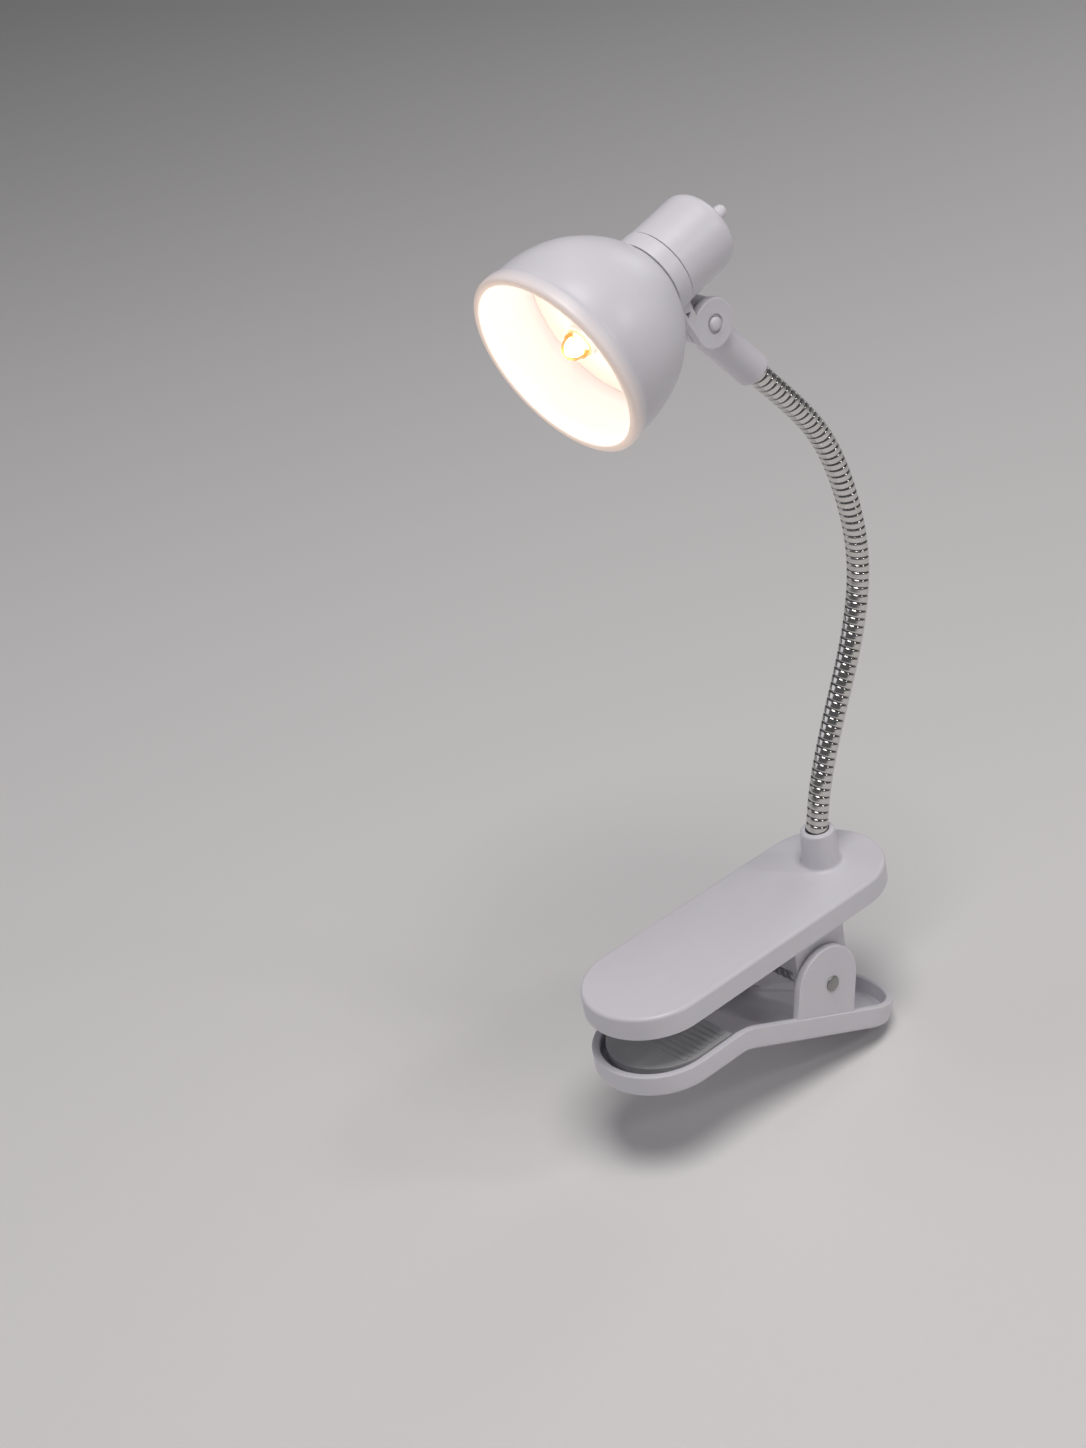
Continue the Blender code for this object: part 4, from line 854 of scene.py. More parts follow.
def geometry_tree(name, inputs):
    """An empty geometry tree with its inputs, from a mesh to a mesh."""
    tree = bpy.data.node_groups.new(name, "GeometryNodeTree")
    tree.interface.new_socket("Geometry", in_out="INPUT", socket_type="NodeSocketGeometry")
    for label, kind, value in inputs:
        socket = tree.interface.new_socket(label, in_out="INPUT", socket_type=kind)
        if value is not None:
            socket.default_value = value
    tree.interface.new_socket("Geometry", in_out="OUTPUT", socket_type="NodeSocketGeometry")
    into = tree.nodes.new("NodeGroupInput").outputs
    out = tree.nodes.new("NodeGroupOutput").inputs
    return tree, into, out


def run_tree(obj, tree, values):
    """Set the modifier's inputs by identifier, then keep the plain mesh that the tree makes."""
    change = obj.modifiers.new(tree.name, "NODES")
    change.node_group = tree
    for item in tree.interface.items_tree:
        if item.item_type == "SOCKET" and item.in_out == "INPUT" and item.name in values:
            change[item.identifier] = values[item.name]
    settle(obj)


def keep_value(tree, geometry, value, kind):
    """Keep a value on each point of a line, to be read on the skin made from it."""
    node = tree.nodes.new("GeometryNodeCaptureAttribute")
    node.domain = "POINT"
    node.capture_items.new(kind, "Value")
    tree.links.new(geometry, node.inputs["Geometry"])
    tree.links.new(value, node.inputs[1])
    return node.outputs["Geometry"], node.outputs[1]


def skin_on_line(tree, into):
    """A tube on the line, and each point's distance along, middle and share of the way round."""
    line = wire(tree, "GeometryNodeMeshToCurve", {}, {"Mesh": into["Geometry"]}).outputs[0]
    even = wire(tree, "GeometryNodeResampleCurve", {},
                {"Curve": line, "Count": into["Steps along"]}).outputs[0]
    length = tree.nodes.new("GeometryNodeSplineParameter").outputs["Length"]
    even, along = keep_value(tree, even, length, "FLOAT")
    position = tree.nodes.new("GeometryNodeInputPosition").outputs[0]
    even, middle = keep_value(tree, even, position, "VECTOR")
    ring = wire(tree, "GeometryNodeCurvePrimitiveCircle", {},
                {"Resolution": into["Steps around"], "Radius": into["Radius"]}).outputs[0]
    factor = tree.nodes.new("GeometryNodeSplineParameter").outputs["Factor"]
    ring, around = keep_value(tree, ring, factor, "FLOAT")
    skin = wire(tree, "GeometryNodeCurveToMesh", {},
                {"Curve": even, "Profile Curve": ring}).outputs[0]
    return skin, along, middle, around


def drawn_to_line(tree, skin, middle, depth):
    """The skin with each point moved toward the line by its depth."""
    place = tree.nodes.new("GeometryNodeInputPosition").outputs[0]
    outward = wire(tree, "ShaderNodeVectorMath", {"operation": "SUBTRACT"}, {0: place, 1: middle})
    outward = wire(tree, "ShaderNodeVectorMath", {"operation": "NORMALIZE"},
                   {0: outward.outputs[0]})
    shift = wire(tree, "ShaderNodeVectorMath", {"operation": "SCALE"},
                 {0: outward.outputs[0], "Scale": math_node(tree, "MULTIPLY", depth, -1.0)})
    return wire(tree, "GeometryNodeSetPosition", {},
                {"Geometry": skin, "Offset": shift.outputs[0]}).outputs[0]


def cut_to_length(tree, skin, along, into):
    """The part of the skin between the From and To distances."""
    before = wire(tree, "FunctionNodeCompare", {"operation": "LESS_THAN"},
                  {"A": along, "B": into["From"]}).outputs[0]
    after = wire(tree, "FunctionNodeCompare", {"operation": "GREATER_THAN"},
                 {"A": along, "B": into["To"]}).outputs[0]
    outside = wire(tree, "FunctionNodeBooleanMath", {"operation": "OR"}, {0: before, 1: after})
    return wire(tree, "GeometryNodeDeleteGeometry", {"domain": "POINT"},
                {"Geometry": skin, "Selection": outside.outputs[0]}).outputs[0]


def coil_tree():
    """Wound flat wire along a line: a tube whose skin is drawn in along a helix."""
    tree, into, out = geometry_tree("Coil winding", [
        ("Radius", "NodeSocketFloat", NECK_RADIUS * MM),
        ("Pitch", "NodeSocketFloat", COIL_PITCH * MM),
        ("Groove depth", "NodeSocketFloat", COIL_GROOVE * MM),
        ("Flatness", "NodeSocketFloat", 6.0),
        ("Steps along", "NodeSocketInt", 900),
        ("Steps around", "NodeSocketInt", 40),
        ("From", "NodeSocketFloat", 0.0),
        ("To", "NodeSocketFloat", 0.01),
        ("Material", "NodeSocketMaterial", None),
    ])
    skin, along, middle, around = skin_on_line(tree, into)
    turns = math_node(tree, "DIVIDE", along, into["Pitch"])
    phase = math_node(tree, "FRACT", math_node(tree, "ADD", turns, around))
    centred = math_node(tree, "ABSOLUTE", math_node(tree, "SUBTRACT",
                                                    math_node(tree, "MULTIPLY", phase, 2.0), 1.0))
    shape = math_node(tree, "POWER", centred, into["Flatness"])
    depth = math_node(tree, "MULTIPLY", shape, into["Groove depth"])
    moved = drawn_to_line(tree, skin, middle, depth)
    kept = cut_to_length(tree, moved, along, into)
    # Groove holds how deep each point lies in the winding's groove; the hose material paints shade
    # there
    marked = wire(tree, "GeometryNodeStoreNamedAttribute",
                  {"data_type": "FLOAT", "domain": "POINT"},
                  {"Geometry": kept, "Value": shape})
    marked.inputs["Name"].default_value = "Groove"
    real = wire(tree, "GeometryNodeRealizeInstances", {},
                {"Geometry": marked.outputs[0]}).outputs[0]
    done = wire(tree, "GeometryNodeSetMaterial", {},
                {"Geometry": real, "Material": into["Material"]}).outputs[0]
    tree.links.new(done, out[0])
    return tree


def screw_tree():
    """Slotted pan heads on the points of a mesh, facing down."""
    tree, into, out = geometry_tree("Set of screws", [
        ("Screw", "NodeSocketObject", None),
        ("Material", "NodeSocketMaterial", None),
    ])
    screw = wire(tree, "GeometryNodeObjectInfo", {}, {"Object": into["Screw"]})
    index = tree.nodes.new("GeometryNodeInputIndex").outputs[0]
    turn = wire(tree, "ShaderNodeCombineXYZ", {}, {"Z": math_node(tree, "MULTIPLY", index, 1.1)})
    spread = wire(tree, "GeometryNodeInstanceOnPoints", {},
                  {"Points": into["Geometry"], "Instance": screw.outputs["Geometry"],
                   "Rotation": turn.outputs[0]}).outputs[0]
    real = wire(tree, "GeometryNodeRealizeInstances", {}, {"Geometry": spread}).outputs[0]
    done = wire(tree, "GeometryNodeSetMaterial", {},
                {"Geometry": real, "Material": into["Material"]}).outputs[0]
    tree.links.new(done, out[0])
    return tree


def point_object(name, points, edges=False):
    data = bpy.data.meshes.new(name)
    links = [(i, i + 1) for i in range(len(points) - 1)] if edges else []
    data.from_pydata([tuple(Vector(p) * MM) for p in points], links, [])
    made = bpy.data.objects.new(name, data)
    bpy.context.scene.collection.objects.link(made)
    return made


# --- clip ------------------------------------------------------------------------------------

def edge_layers(make, low, high, top_edge, bottom_edge=0.2, steps=6):
    """Outline layers from the rounded top edge down to the rounded bottom edge."""
    layers = []
    for s, c in quarter_turn(steps):
        layers.append(make(high - top_edge * (1 - c), top_edge * (1 - s)))
    for s, c in quarter_turn(2):
        layers.append(make(low + bottom_edge * (1 - s), bottom_edge * (1 - c)))
    return layers


def build_clip_plate():
    middle = [NOSE_REACH * 0.5, PIN_Y]

    def layer(height, inset):
        return (height, strip_stations(-NOSE_REACH, TAIL_Y, PLATE_WIDTH / 2, inset, True, True,
                                       middle))

    layers = edge_layers(layer, PAD_PROUD, PLATE_TOP, PLATE_EDGE)
    layers += [layer(PAD_PROUD, PLATE_WALL - 0.2), layer(PAD_PROUD + 0.2, PLATE_WALL),
               layer(CEILING, PLATE_WALL)]
    plate = to_object("clip_plate", lofted(layers, flat_place), FINISH["white_shell"])
    at_collar = Matrix.Translation((0.0, COLLAR_Y, 0.0))
    flare = 1.1
    outline = [(PLATE_TOP - 1.0, COLLAR_BASE_RADIUS + flare)]
    for s, c in quarter_turn(8):
        outline.append((PLATE_TOP + 0.02 + flare * (1 - c), COLLAR_BASE_RADIUS + flare * (1 - s)))
    lip = 0.65
    for s, c in quarter_turn(6):
        outline.append((COLLAR_TOP - lip * (1 - s), COLLAR_TOP_RADIUS - lip * (1 - c)))
    collar = to_object("collar_tool", solid_turned(outline, FINE_STEPS, at_collar))
    bore_shape = [(CEILING - 2.0, NECK_BORE), (COLLAR_TOP + 2.0, NECK_BORE)]
    bore = to_object("bore_tool", solid_turned(bore_shape, FINE_STEPS, at_collar))
    carve(plate, [collar], [bore])
    place_piece(plate, "clip_base", ["upper_plate"])


def bracket_side():
    front = PIN_Y - BRACKET_HALF_WIDTH
    rear = PIN_Y + BRACKET_HALF_WIDTH
    top = BASE_BOTTOM + BRACKET_BASE / 2
    outline = [(front, top), (front, PIN_Z)]
    for i in range(1, 36):
        angle = 180.0 + 5.0 * i
        outline.append((PIN_Y + BRACKET_HALF_WIDTH * cos_deg(angle),
                        PIN_Z + BRACKET_HALF_WIDTH * sin_deg(angle)))
    outline += [(rear, PIN_Z), (rear, PAD_PROUD - 2.6), (rear + 2.6, PAD_PROUD - 0.4)]
    outline.append((rear + 3.6, top))
    return outline


def build_pivot_bracket():
    half = BRACKET_OUTER_X
    rear = TAIL_Y - PLATE_WIDTH / 2 + half
    top = BASE_BOTTOM + BRACKET_BASE
    stations = strip_stations(PIN_Y - BRACKET_AHEAD_OF_PIN, rear, half, 0.0, False, True, [PIN_Y])
    bracket = to_object("pivot_bracket", lofted([(BASE_BOTTOM, stations), (top, stations)],
                                                flat_place), FINISH["white_shell"])
    joins = []
    for side in (-1, 1):
        low, high = sorted((side * BRACKET_INNER_X, side * BRACKET_OUTER_X))
        joins.append(to_object(f"ear_tool_{side}", slab(bracket_side(), low, high, 0.25)))
    web_y = PIN_Y - BRACKET_HALF_WIDTH + 0.15
    low_z = PAD_PROUD - WEB_HEIGHT
    web = rounded([(web_y, low_z), (web_y + BRACKET_WALL, low_z),
                   (web_y + BRACKET_WALL, top - 0.5), (web_y, top - 0.5)], 0.3)
    joins.append(to_object("web_tool", slab(web, -half + 0.5, half - 0.5)))
    at_collar = Matrix.Translation((0.0, COLLAR_Y, 0.0))
    hole = to_object("neck_hole_tool", solid_turned([(BASE_BOTTOM - 1, 5.4), (CEILING + 1, 5.4)],
                                                    FINE_STEPS, at_collar))
    pin = to_object("pin_hole_tool", bar(-half - 1, half + 1, PIN_Y, PIN_Z,
                                         PIN_RADIUS + RUNNING_GAP))
    carve(bracket, joins, [hole, pin])
    place_piece(bracket, "clip_base", ["upper_bracket"])


def build_screws():
    """Four slotted screws from one head, spread by the screw tree."""
    top = BASE_BOTTOM - FIT_GAP
    head = [(-0.9, 1.5), (-0.75, 2.0), (-0.55, 2.35), (-0.3, SCREW_HEAD_RADIUS),
            (0.0, SCREW_HEAD_RADIUS), (0.0, SCREW_RADIUS), (1.6, SCREW_RADIUS)]
    screw = to_object("screw_head_tool", solid_turned(head, 28), FINISH["pin_steel"])
    blade = bmesh.new()
    bmesh.ops.create_cube(blade, size=1.0, matrix=Matrix.Translation((0.0, 0.0, -0.9)) @
                          Matrix.Diagonal((2.9, 0.5, 0.8, 1.0)))
    carve(screw, (), [to_object("slot_tool", blade)])
    front_y = PIN_Y - SCREW_AHEAD_OF_PIN
    rear_y = PIN_Y + SCREW_BEHIND_PIN
    side = BRACKET_INNER_X - SCREW_FROM_EAR
    places = [(-side, front_y, top), (side, front_y, top), (-side, rear_y, top),
              (side, rear_y, top)]
    screws = point_object("bracket_screws", places)
    run_tree(screws, screw_tree(), {"Screw": screw, "Material": FINISH["pin_steel"]})
    bpy.data.objects.remove(screw, do_unlink=True)
    place_piece(screws, "clip_base", [f"bracket_screw_{i}" for i in range(1, 5)])


def ribbed_pad(name, make_layer, base, face, start, end, half, place, toward):
    """A rubber pad with rounded cross ribs standing on its face."""
    pad = to_object(name, lofted([make_layer(base, 0.0), make_layer(face, 0.0)], place),
                    FINISH["pad_rubber"])
    ribs = []
    pitch = (end - start) / PAD_RIBS
    for i in range(PAD_RIBS):
        middle = start + pitch * (i + 0.5)
        outline = []
        for k in range(9):
            angle = 180.0 * k / 8
            outline.append((middle + pitch * 0.32 * cos_deg(angle),
                            face + toward * 0.3 * sin_deg(angle) ** 0.6))
        outline += [(middle - pitch * 0.32, face - toward * 0.4),
                    (middle + pitch * 0.32, face - toward * 0.4)]
        mesh = bmesh.new()
        rings = [[mesh.verts.new(place(x, y, z)) for y, z in outline] for x in (-half, half)]
        fill_between(mesh, rings[0], rings[1])
        for ring in rings:
            mesh.faces.new(ring)
        ribs.append(to_object(f"{name}_rib_{i}", mesh))
    carve(pad, ribs)
    return pad


def build_pads():
    half = PLATE_WIDTH / 2 - PLATE_WALL - FIT_GAP
    start = -PAD_LENGTH / 2
    end = PAD_LENGTH / 2

    def upper(height, inset):
        return (height, strip_stations(start, end, half, inset, True, False, [PAD_LENGTH * 0.3]))

    pad = ribbed_pad("upper_grip", upper, CEILING - FIT_GAP, 0.3, start + 8.5, end - 0.8,
                     half - 1.2, flat_place, -1.0)
    place_piece(pad, "clip_base", ["upper_pad"])
    nose = JAW_LENGTH - PAD_FRONT_MARGIN
    begin = max(nose - PAD_LENGTH, JAW_NOSE_SIDE_START + 0.5)

    def lower(height, inset):
        return (height, strip_stations(begin, nose, half, inset, False, True, [begin + 4.0]))

    bottom = -JAW_DEPTH + JAW_FLOOR + FIT_GAP
    pad = ribbed_pad("lower_grip", lower, bottom, PAD_PROUD - 0.3, begin + 0.8, nose - 8.5,
                     half - 1.2, jaw_place, 1.0)
    place_piece(pad, "lower_jaw_body", ["lower_pad"])


def jaw_line():
    back = Vector((0.0, cos_deg(HANDLE_TILT), -sin_deg(HANDLE_TILT)))
    up = Vector((0.0, sin_deg(HANDLE_TILT), cos_deg(HANDLE_TILT)))
    start = Vector((0.0, PIN_Y, PIN_Z)) + back * HANDLE_LENGTH - up * PIN_ABOVE_RIM
    corner = (JAW_RIM_FRONT - start.z) / sin_deg(HANDLE_TILT)
    tangent = JAW_BEND_RADIUS * math.tan(math.radians(HANDLE_TILT) / 2)
    bend = JAW_BEND_RADIUS * math.radians(HANDLE_TILT)
    corner_y = start.y - corner * cos_deg(HANDLE_TILT)
    total = (corner - tangent) + bend + (corner_y - tangent + NOSE_REACH)
    return start, corner, tangent, bend, total


JAW_START, JAW_CORNER, JAW_TANGENT, JAW_BEND, JAW_LENGTH = jaw_line()
JAW_NOSE_SIDE_START = JAW_CORNER - JAW_TANGENT + JAW_BEND


def jaw_place(x, along, height):
    """Place on the bent jaw: along its rim line and above it."""
    straight = JAW_CORNER - JAW_TANGENT
    turn = 0.0
    if along > straight:
        turn = min((along - straight) / JAW_BEND, 1.0) * HANDLE_TILT
    forward = Vector((0.0, -cos_deg(HANDLE_TILT), sin_deg(HANDLE_TILT)))
    point = JAW_START + forward * min(along, straight)
    if turn > 0.0:
        up = Vector((0.0, sin_deg(HANDLE_TILT), cos_deg(HANDLE_TILT)))
        centre = point - up * JAW_BEND_RADIUS
        lean = HANDLE_TILT - turn
        point = centre + Vector((0.0, sin_deg(lean), cos_deg(lean))) * JAW_BEND_RADIUS
    if along > JAW_NOSE_SIDE_START:
        point = point - Vector((0.0, along - JAW_NOSE_SIDE_START, 0.0))
    lean = HANDLE_TILT - turn
    up = Vector((0.0, sin_deg(lean), cos_deg(lean)))
    return point + up * height + Vector((x, 0.0, 0.0))


def jaw_ear_side():
    centre_y = PIN_Y + EAR_OFFSET_Y
    centre_z = PIN_Z + EAR_OFFSET_Z
    outline = []
    for i in range(49):
        angle = -EAR_LEAN + 180.0 * i / 48
        outline.append((centre_y + EAR_RADIUS * cos_deg(angle),
                        centre_z + EAR_RADIUS * sin_deg(angle)))
    down = (-sin_deg(EAR_LEAN), -cos_deg(EAR_LEAN))
    front_drop = (PIN_ABOVE_RIM + 1.0) * 0.72
    rear_drop = (PIN_ABOVE_RIM + 1.0) * 1.62
    first, last = outline[0], outline[-1]
    outline.append((last[0] + down[0] * front_drop, last[1] + down[1] * front_drop))
    outline.append((first[0] + down[0] * rear_drop, first[1] + down[1] * rear_drop))
    return outline


def build_lower_jaw():
    straight = JAW_CORNER - JAW_TANGENT
    middle = [straight - 8.0, straight]
    middle += [straight + JAW_BEND * i / 14 for i in range(1, 14)]
    middle += [JAW_NOSE_SIDE_START]

    def layer(height, inset):
        return (height, strip_stations(0.0, JAW_LENGTH, PLATE_WIDTH / 2, inset, True, True, middle))

    floor = -JAW_DEPTH + JAW_FLOOR
    layers = []
    edge = JAW_EDGE * 1.45
    for s, c in quarter_turn(6):
        layers.append(layer(-JAW_DEPTH + edge * (1 - c), edge * (1 - s)))
    rim = 0.22
    layers += [layer(-rim, 0.0), layer(-rim * 0.3, rim * 0.3), layer(0.0, rim),
               layer(0.0, JAW_WALL - rim), layer(-rim, JAW_WALL), layer(floor + 0.3, JAW_WALL),
               layer(floor, JAW_WALL + 0.3)]
    jaw = to_object("lower_jaw_shell", lofted(layers, jaw_place), FINISH["white_shell"])
    joins = []
    for side in (-1, 1):
        low, high = sorted((side * EAR_INNER_X, side * EAR_OUTER_X))
        joins.append(to_object(f"jaw_ear_tool_{side}", slab(jaw_ear_side(), low, high, 0.3)))
    reach = PLATE_WIDTH / 2 + 2.0
    hole = to_object("jaw_hole_tool", bar(-reach, reach, PIN_Y, PIN_Z, PIN_RADIUS + RUNNING_GAP))
    carve(jaw, joins, [hole])
    place_piece(jaw, "lower_jaw_body", ["lower_jaw"])


def build_pivot():
    face = EAR_OUTER_X + FIT_GAP / 3
    tip = face + PIN_HEAD_HEIGHT
    place = Matrix.Translation((0.0, PIN_Y, PIN_Z)) @ Matrix.Rotation(math.pi / 2, 4, "Y")
    outline = [(-EAR_OUTER_X - 1.4, PIN_RADIUS - 0.3), (-EAR_OUTER_X - 1.1, PIN_RADIUS),
               (face, PIN_RADIUS), (face, PIN_HEAD_RADIUS)]
    for s, c in quarter_turn(8, last=7):
        outline.append((tip - 0.42 + 0.42 * s, PIN_HEAD_RADIUS * c))
    pin = to_object("pivot_rod", solid_turned(outline, SMALL_STEPS, place), FINISH["pin_steel"])
    place_piece(pin, "lower_jaw_body", ["pivot_pin"])
    inner = PIN_RADIUS + RUNNING_GAP
    low = -EAR_OUTER_X - 0.2
    start = low - PIN_CLIP_THICKNESS
    ring = rounded([(start, inner), (start, PIN_CLIP_RADIUS), (low, PIN_CLIP_RADIUS),
                    (low, inner)], 0.12)
    clip = to_object("pin_clip_ring", turned(ring, SMALL_STEPS, place), FINISH["spring_steel"])
    place_piece(clip, "lower_jaw_body", ["pin_clip"])


def build_spring():
    """Coils about the pin, with a leg toward each jaw."""
    half_span = SPRING_TURNS * SPRING_PITCH / 2
    first_angle = LOWER_LEG_ANGLE - 90.0
    last_angle = UPPER_LEG_ANGLE + 90.0
    sweep = 360.0 * SPRING_TURNS - (first_angle - last_angle) % 360.0
    steps = int(48 * sweep / 360.0)
    coil = []
    for i in range(steps + 1):
        angle = first_angle - sweep * i / steps
        coil.append(Vector((-half_span + 2 * half_span * i / steps,
                            PIN_Y + SPRING_RADIUS * cos_deg(angle),
                            PIN_Z + SPRING_RADIUS * sin_deg(angle))))
    lower = Vector((0.0, cos_deg(LOWER_LEG_ANGLE), sin_deg(LOWER_LEG_ANGLE)))
    floor_drop = PIN_ABOVE_RIM + JAW_DEPTH - JAW_FLOOR - SPRING_WIRE - FIT_GAP
    closing = -LOWER_LEG_ANGLE - HANDLE_TILT
    lower_length = (floor_drop - SPRING_RADIUS * cos_deg(closing)) / sin_deg(closing)
    upper = Vector((0.0, cos_deg(UPPER_LEG_ANGLE), sin_deg(UPPER_LEG_ANGLE)))
    upper_length = (BASE_BOTTOM - SPRING_WIRE - FIT_GAP - coil[-1].z) / upper.z
    points = [coil[0] + lower * lower_length] + coil + [coil[-1] + upper * upper_length]
    spring = to_object("clip_spring", tube(points, SPRING_WIRE, 14),
                       FINISH["spring_steel"])
    polish(spring, 50.0)
    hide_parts("torsion_spring")
    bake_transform(spring)


# --- neck ------------------------------------------------------------------------------------

def build_neck():
    """The wound hose, in lengths that each cross one joint."""
    joints = neck_joints()
    root = -(COLLAR_HEIGHT - FERRULE_ROOM)
    tip = NECK_LENGTH + SOCKET_DEPTH - FERRULE_ROOM
    count = int((tip - root) / NECK_LINE_STEP)
    line = [neck_point(root + (tip - root) * i / count) for i in range(count + 1)]
    tree = coil_tree()
    middles = [(a + b) / 2 for a, b in zip(joints, joints[1:])]
    cuts = [root - 1.0] + middles + [tip + 1.0]
    steps = int((tip - root) / COIL_PITCH * COIL_STEPS)
    # A length takes in the ring of points at each of its ends, so neighbours share one
    snap = (tip - root) / (steps - 1)
    for i in range(len(joints)):
        hose = point_object(f"hose_{i + 1:02d}", line, edges=True)
        low = (round((cuts[i] - root) / snap) - 0.25) * snap
        high = (round((cuts[i + 1] - root) / snap) + 0.25) * snap
        run_tree(hose, tree, {"From": low * MM, "To": high * MM, "Steps along": steps,
                              "Material": FINISH["neck_chrome"]})
        hose.data.shade_smooth()
        if i == 0:
            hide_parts("gooseneck_01", "gooseneck_02")
        else:
            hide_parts(f"gooseneck_{i + 2:02d}")
        if i + 1 in FAR_BODY_FIRST:
            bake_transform(hose)
        else:
            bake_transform(hose)


def build_connector():
    across = Vector((1.0, 0.0, 0.0))
    side = CONNECTOR_AXIS.cross(across)
    rows = [(across[k], side[k], CONNECTOR_AXIS[k], NECK_END[k]) for k in range(3)]
    place = Matrix(rows + [(0.0, 0.0, 0.0, 1.0)])
    radius = CONNECTOR_RADIUS
    mouth = 0.62
    outline = []
    for s, c in reversed(quarter_turn(6)):
        outline.append((mouth * (1 - s), radius - mouth * (1 - c)))
    outline += [(CONNECTOR_LENGTH - TAPER_START, radius),
                (CONNECTOR_LENGTH - TAPER_END, EYE_HALF_WIDTH - 0.4),
                (CONNECTOR_LENGTH - 0.5, EYE_HALF_WIDTH - 0.6)]
    body = to_object("neck_sleeve", solid_turned(outline, FINE_STEPS, place),
                     FINISH["white_shell"])
    blank = EYE_HALF_WIDTH + FIT_GAP
    eye = to_object("eye_tool", bar(-blank, blank, KNUCKLE.y, KNUCKLE.z, EYE_RADIUS,
                                    FINE_STEPS))
    cuts = []
    for number, sign in enumerate((-1, 1)):
        low, high = sorted((sign * EYE_HALF_WIDTH, sign * (CONNECTOR_RADIUS + 1.0)))
        cuts.append(to_object(f"relief_tool_{number}", bar(low, high, KNUCKLE.y, KNUCKLE.z,
                                                           EYE_RADIUS + EYE_CLEARANCE, FINE_STEPS)))
    cuts.append(to_object("socket_tool", solid_turned([(-2.0, NECK_BORE),
                                                       (SOCKET_DEPTH, NECK_BORE)],
                                                      FINE_STEPS, place)))
    reach = EYE_HALF_WIDTH + 2.0
    cuts.append(to_object("rivet_hole_tool", bar(-reach, reach, KNUCKLE.y, KNUCKLE.z,
                                                 RIVET_RADIUS + RUNNING_GAP)))
    carve(body, [eye], cuts)
    place_piece(body, "neck_10", ["neck_connector"])


def build_knuckle():
    place = Matrix.Translation(KNUCKLE) @ Matrix.Rotation(math.pi / 2, 4, "Y")
    recess = CHEEK_OUTER_X - RIVET_RECESS_DEPTH
    head = RIVET_HEAD_RADIUS
    outline = [(-CHEEK_OUTER_X - 1.5, RIVET_RADIUS), (recess + 0.15, RIVET_RADIUS),
               (recess + 0.15, head)]
    for s, c in quarter_turn(7, last=6):
        outline.append((recess + 0.45 + 0.6 * s, head * c))
    rivet = to_object("knuckle_rivet_head", solid_turned(outline, SMALL_STEPS, place),
                      FINISH["white_shell"])
    place_piece(rivet, "head", ["knuckle_rivet"])
    low = -CHEEK_OUTER_X - 1.3
    high = -CHEEK_OUTER_X - 0.2
    inner = RIVET_RADIUS + RUNNING_GAP
    outer = KNUCKLE_NUT_RADIUS
    ring = rounded([(low, inner), (low, outer - 0.3), (low + 0.3, outer), (high, outer),
                    (high, inner)], 0.12)
    nut = to_object("rivet_collar", turned(ring, SMALL_STEPS, place), FINISH["contact_nickel"])
    place_piece(nut, "head", ["knuckle_nut"])


def arc_points(along, below, radius, first, last, steps):
    made = []
    for i in range(steps + 1):
        angle = first + (last - first) * i / steps
        made.append(head_yz(along + radius * cos_deg(angle), below + radius * sin_deg(angle)))
    return made


def build_head_collar():
    start = SHADE_LENGTH + FIT_GAP
    end = start + COLLAR_RING_LENGTH
    inner = SLEEVE_RADIUS + FIT_GAP
    ring = rounded([(start, inner - 2.0), (start, COLLAR_RING_RADIUS),
                    (end, COLLAR_RING_RADIUS), (end, inner - 2.0)], 0.2, closed=False)
    collar = to_object("knuckle_collar", solid_turned(ring, ROUND_STEPS, HEAD),
                       FINISH["white_shell"])
    foot = math.sqrt((COLLAR_RING_RADIUS - 0.4) ** 2 - CHEEK_OUTER_X ** 2) - 0.3
    cheek = arc_points(KNUCKLE_ALONG, KNUCKLE_BELOW, CHEEK_RADIUS, -128.0, 165.0, 60)
    cheek += [head_yz(start + 0.1, foot), head_yz(end - 0.1, foot)]
    joins = []
    for side in (-1, 1):
        low, high = sorted((side * CHEEK_INNER_X, side * CHEEK_OUTER_X))
        joins.append(to_object(f"cheek_tool_{side}", slab(cheek, low, high, 0.3)))
    gap_y, gap_z = head_yz(start + 1.8, foot + 2.9)
    cuts = [to_object("window_tool", bar(CHEEK_INNER_X - 1.0, CHEEK_OUTER_X + 1.0, gap_y, gap_z,
                                         0.9, 3))]
    reach = CHEEK_OUTER_X + 1.0
    cuts.append(to_object("cheek_hole_tool", bar(-reach, reach, KNUCKLE.y, KNUCKLE.z,
                                                 RIVET_RADIUS + RUNNING_GAP)))
    cuts.append(to_object("recess_tool", bar(CHEEK_OUTER_X - RIVET_RECESS_DEPTH, reach, KNUCKLE.y,
                                             KNUCKLE.z, RIVET_RECESS_RADIUS)))
    cuts.append(to_object("sleeve_bore_tool", solid_turned([(start - 2, inner), (end + 2, inner)],
                                                           ROUND_STEPS, HEAD)))
    carve(collar, joins, cuts)
    place_piece(collar, "head", ["head_collar"])


# --- head ------------------------------------------------------------------------------------

def shade_line():
    length = SHADE_LENGTH
    mouth = MOUTH_RADIUS
    dome = [(3.9, mouth - 0.44), (length * 0.255, mouth - 0.45), (length * 0.375, mouth - 0.85),
            (length * 0.505, mouth - 1.75), (length * 0.59, mouth - 2.6),
            (length * 0.67, mouth - 3.7), (length * 0.73, mouth - 4.75),
            (length * 0.785, mouth - 5.8), (length * 0.84, mouth - 7.05),
            (length * 0.895, mouth - 8.5), (length * 0.935, mouth - 9.8),
            (length * 0.97, mouth - 11.2), (length, COLLAR_RING_RADIUS - 0.1)]
    return smooth_line(dome)


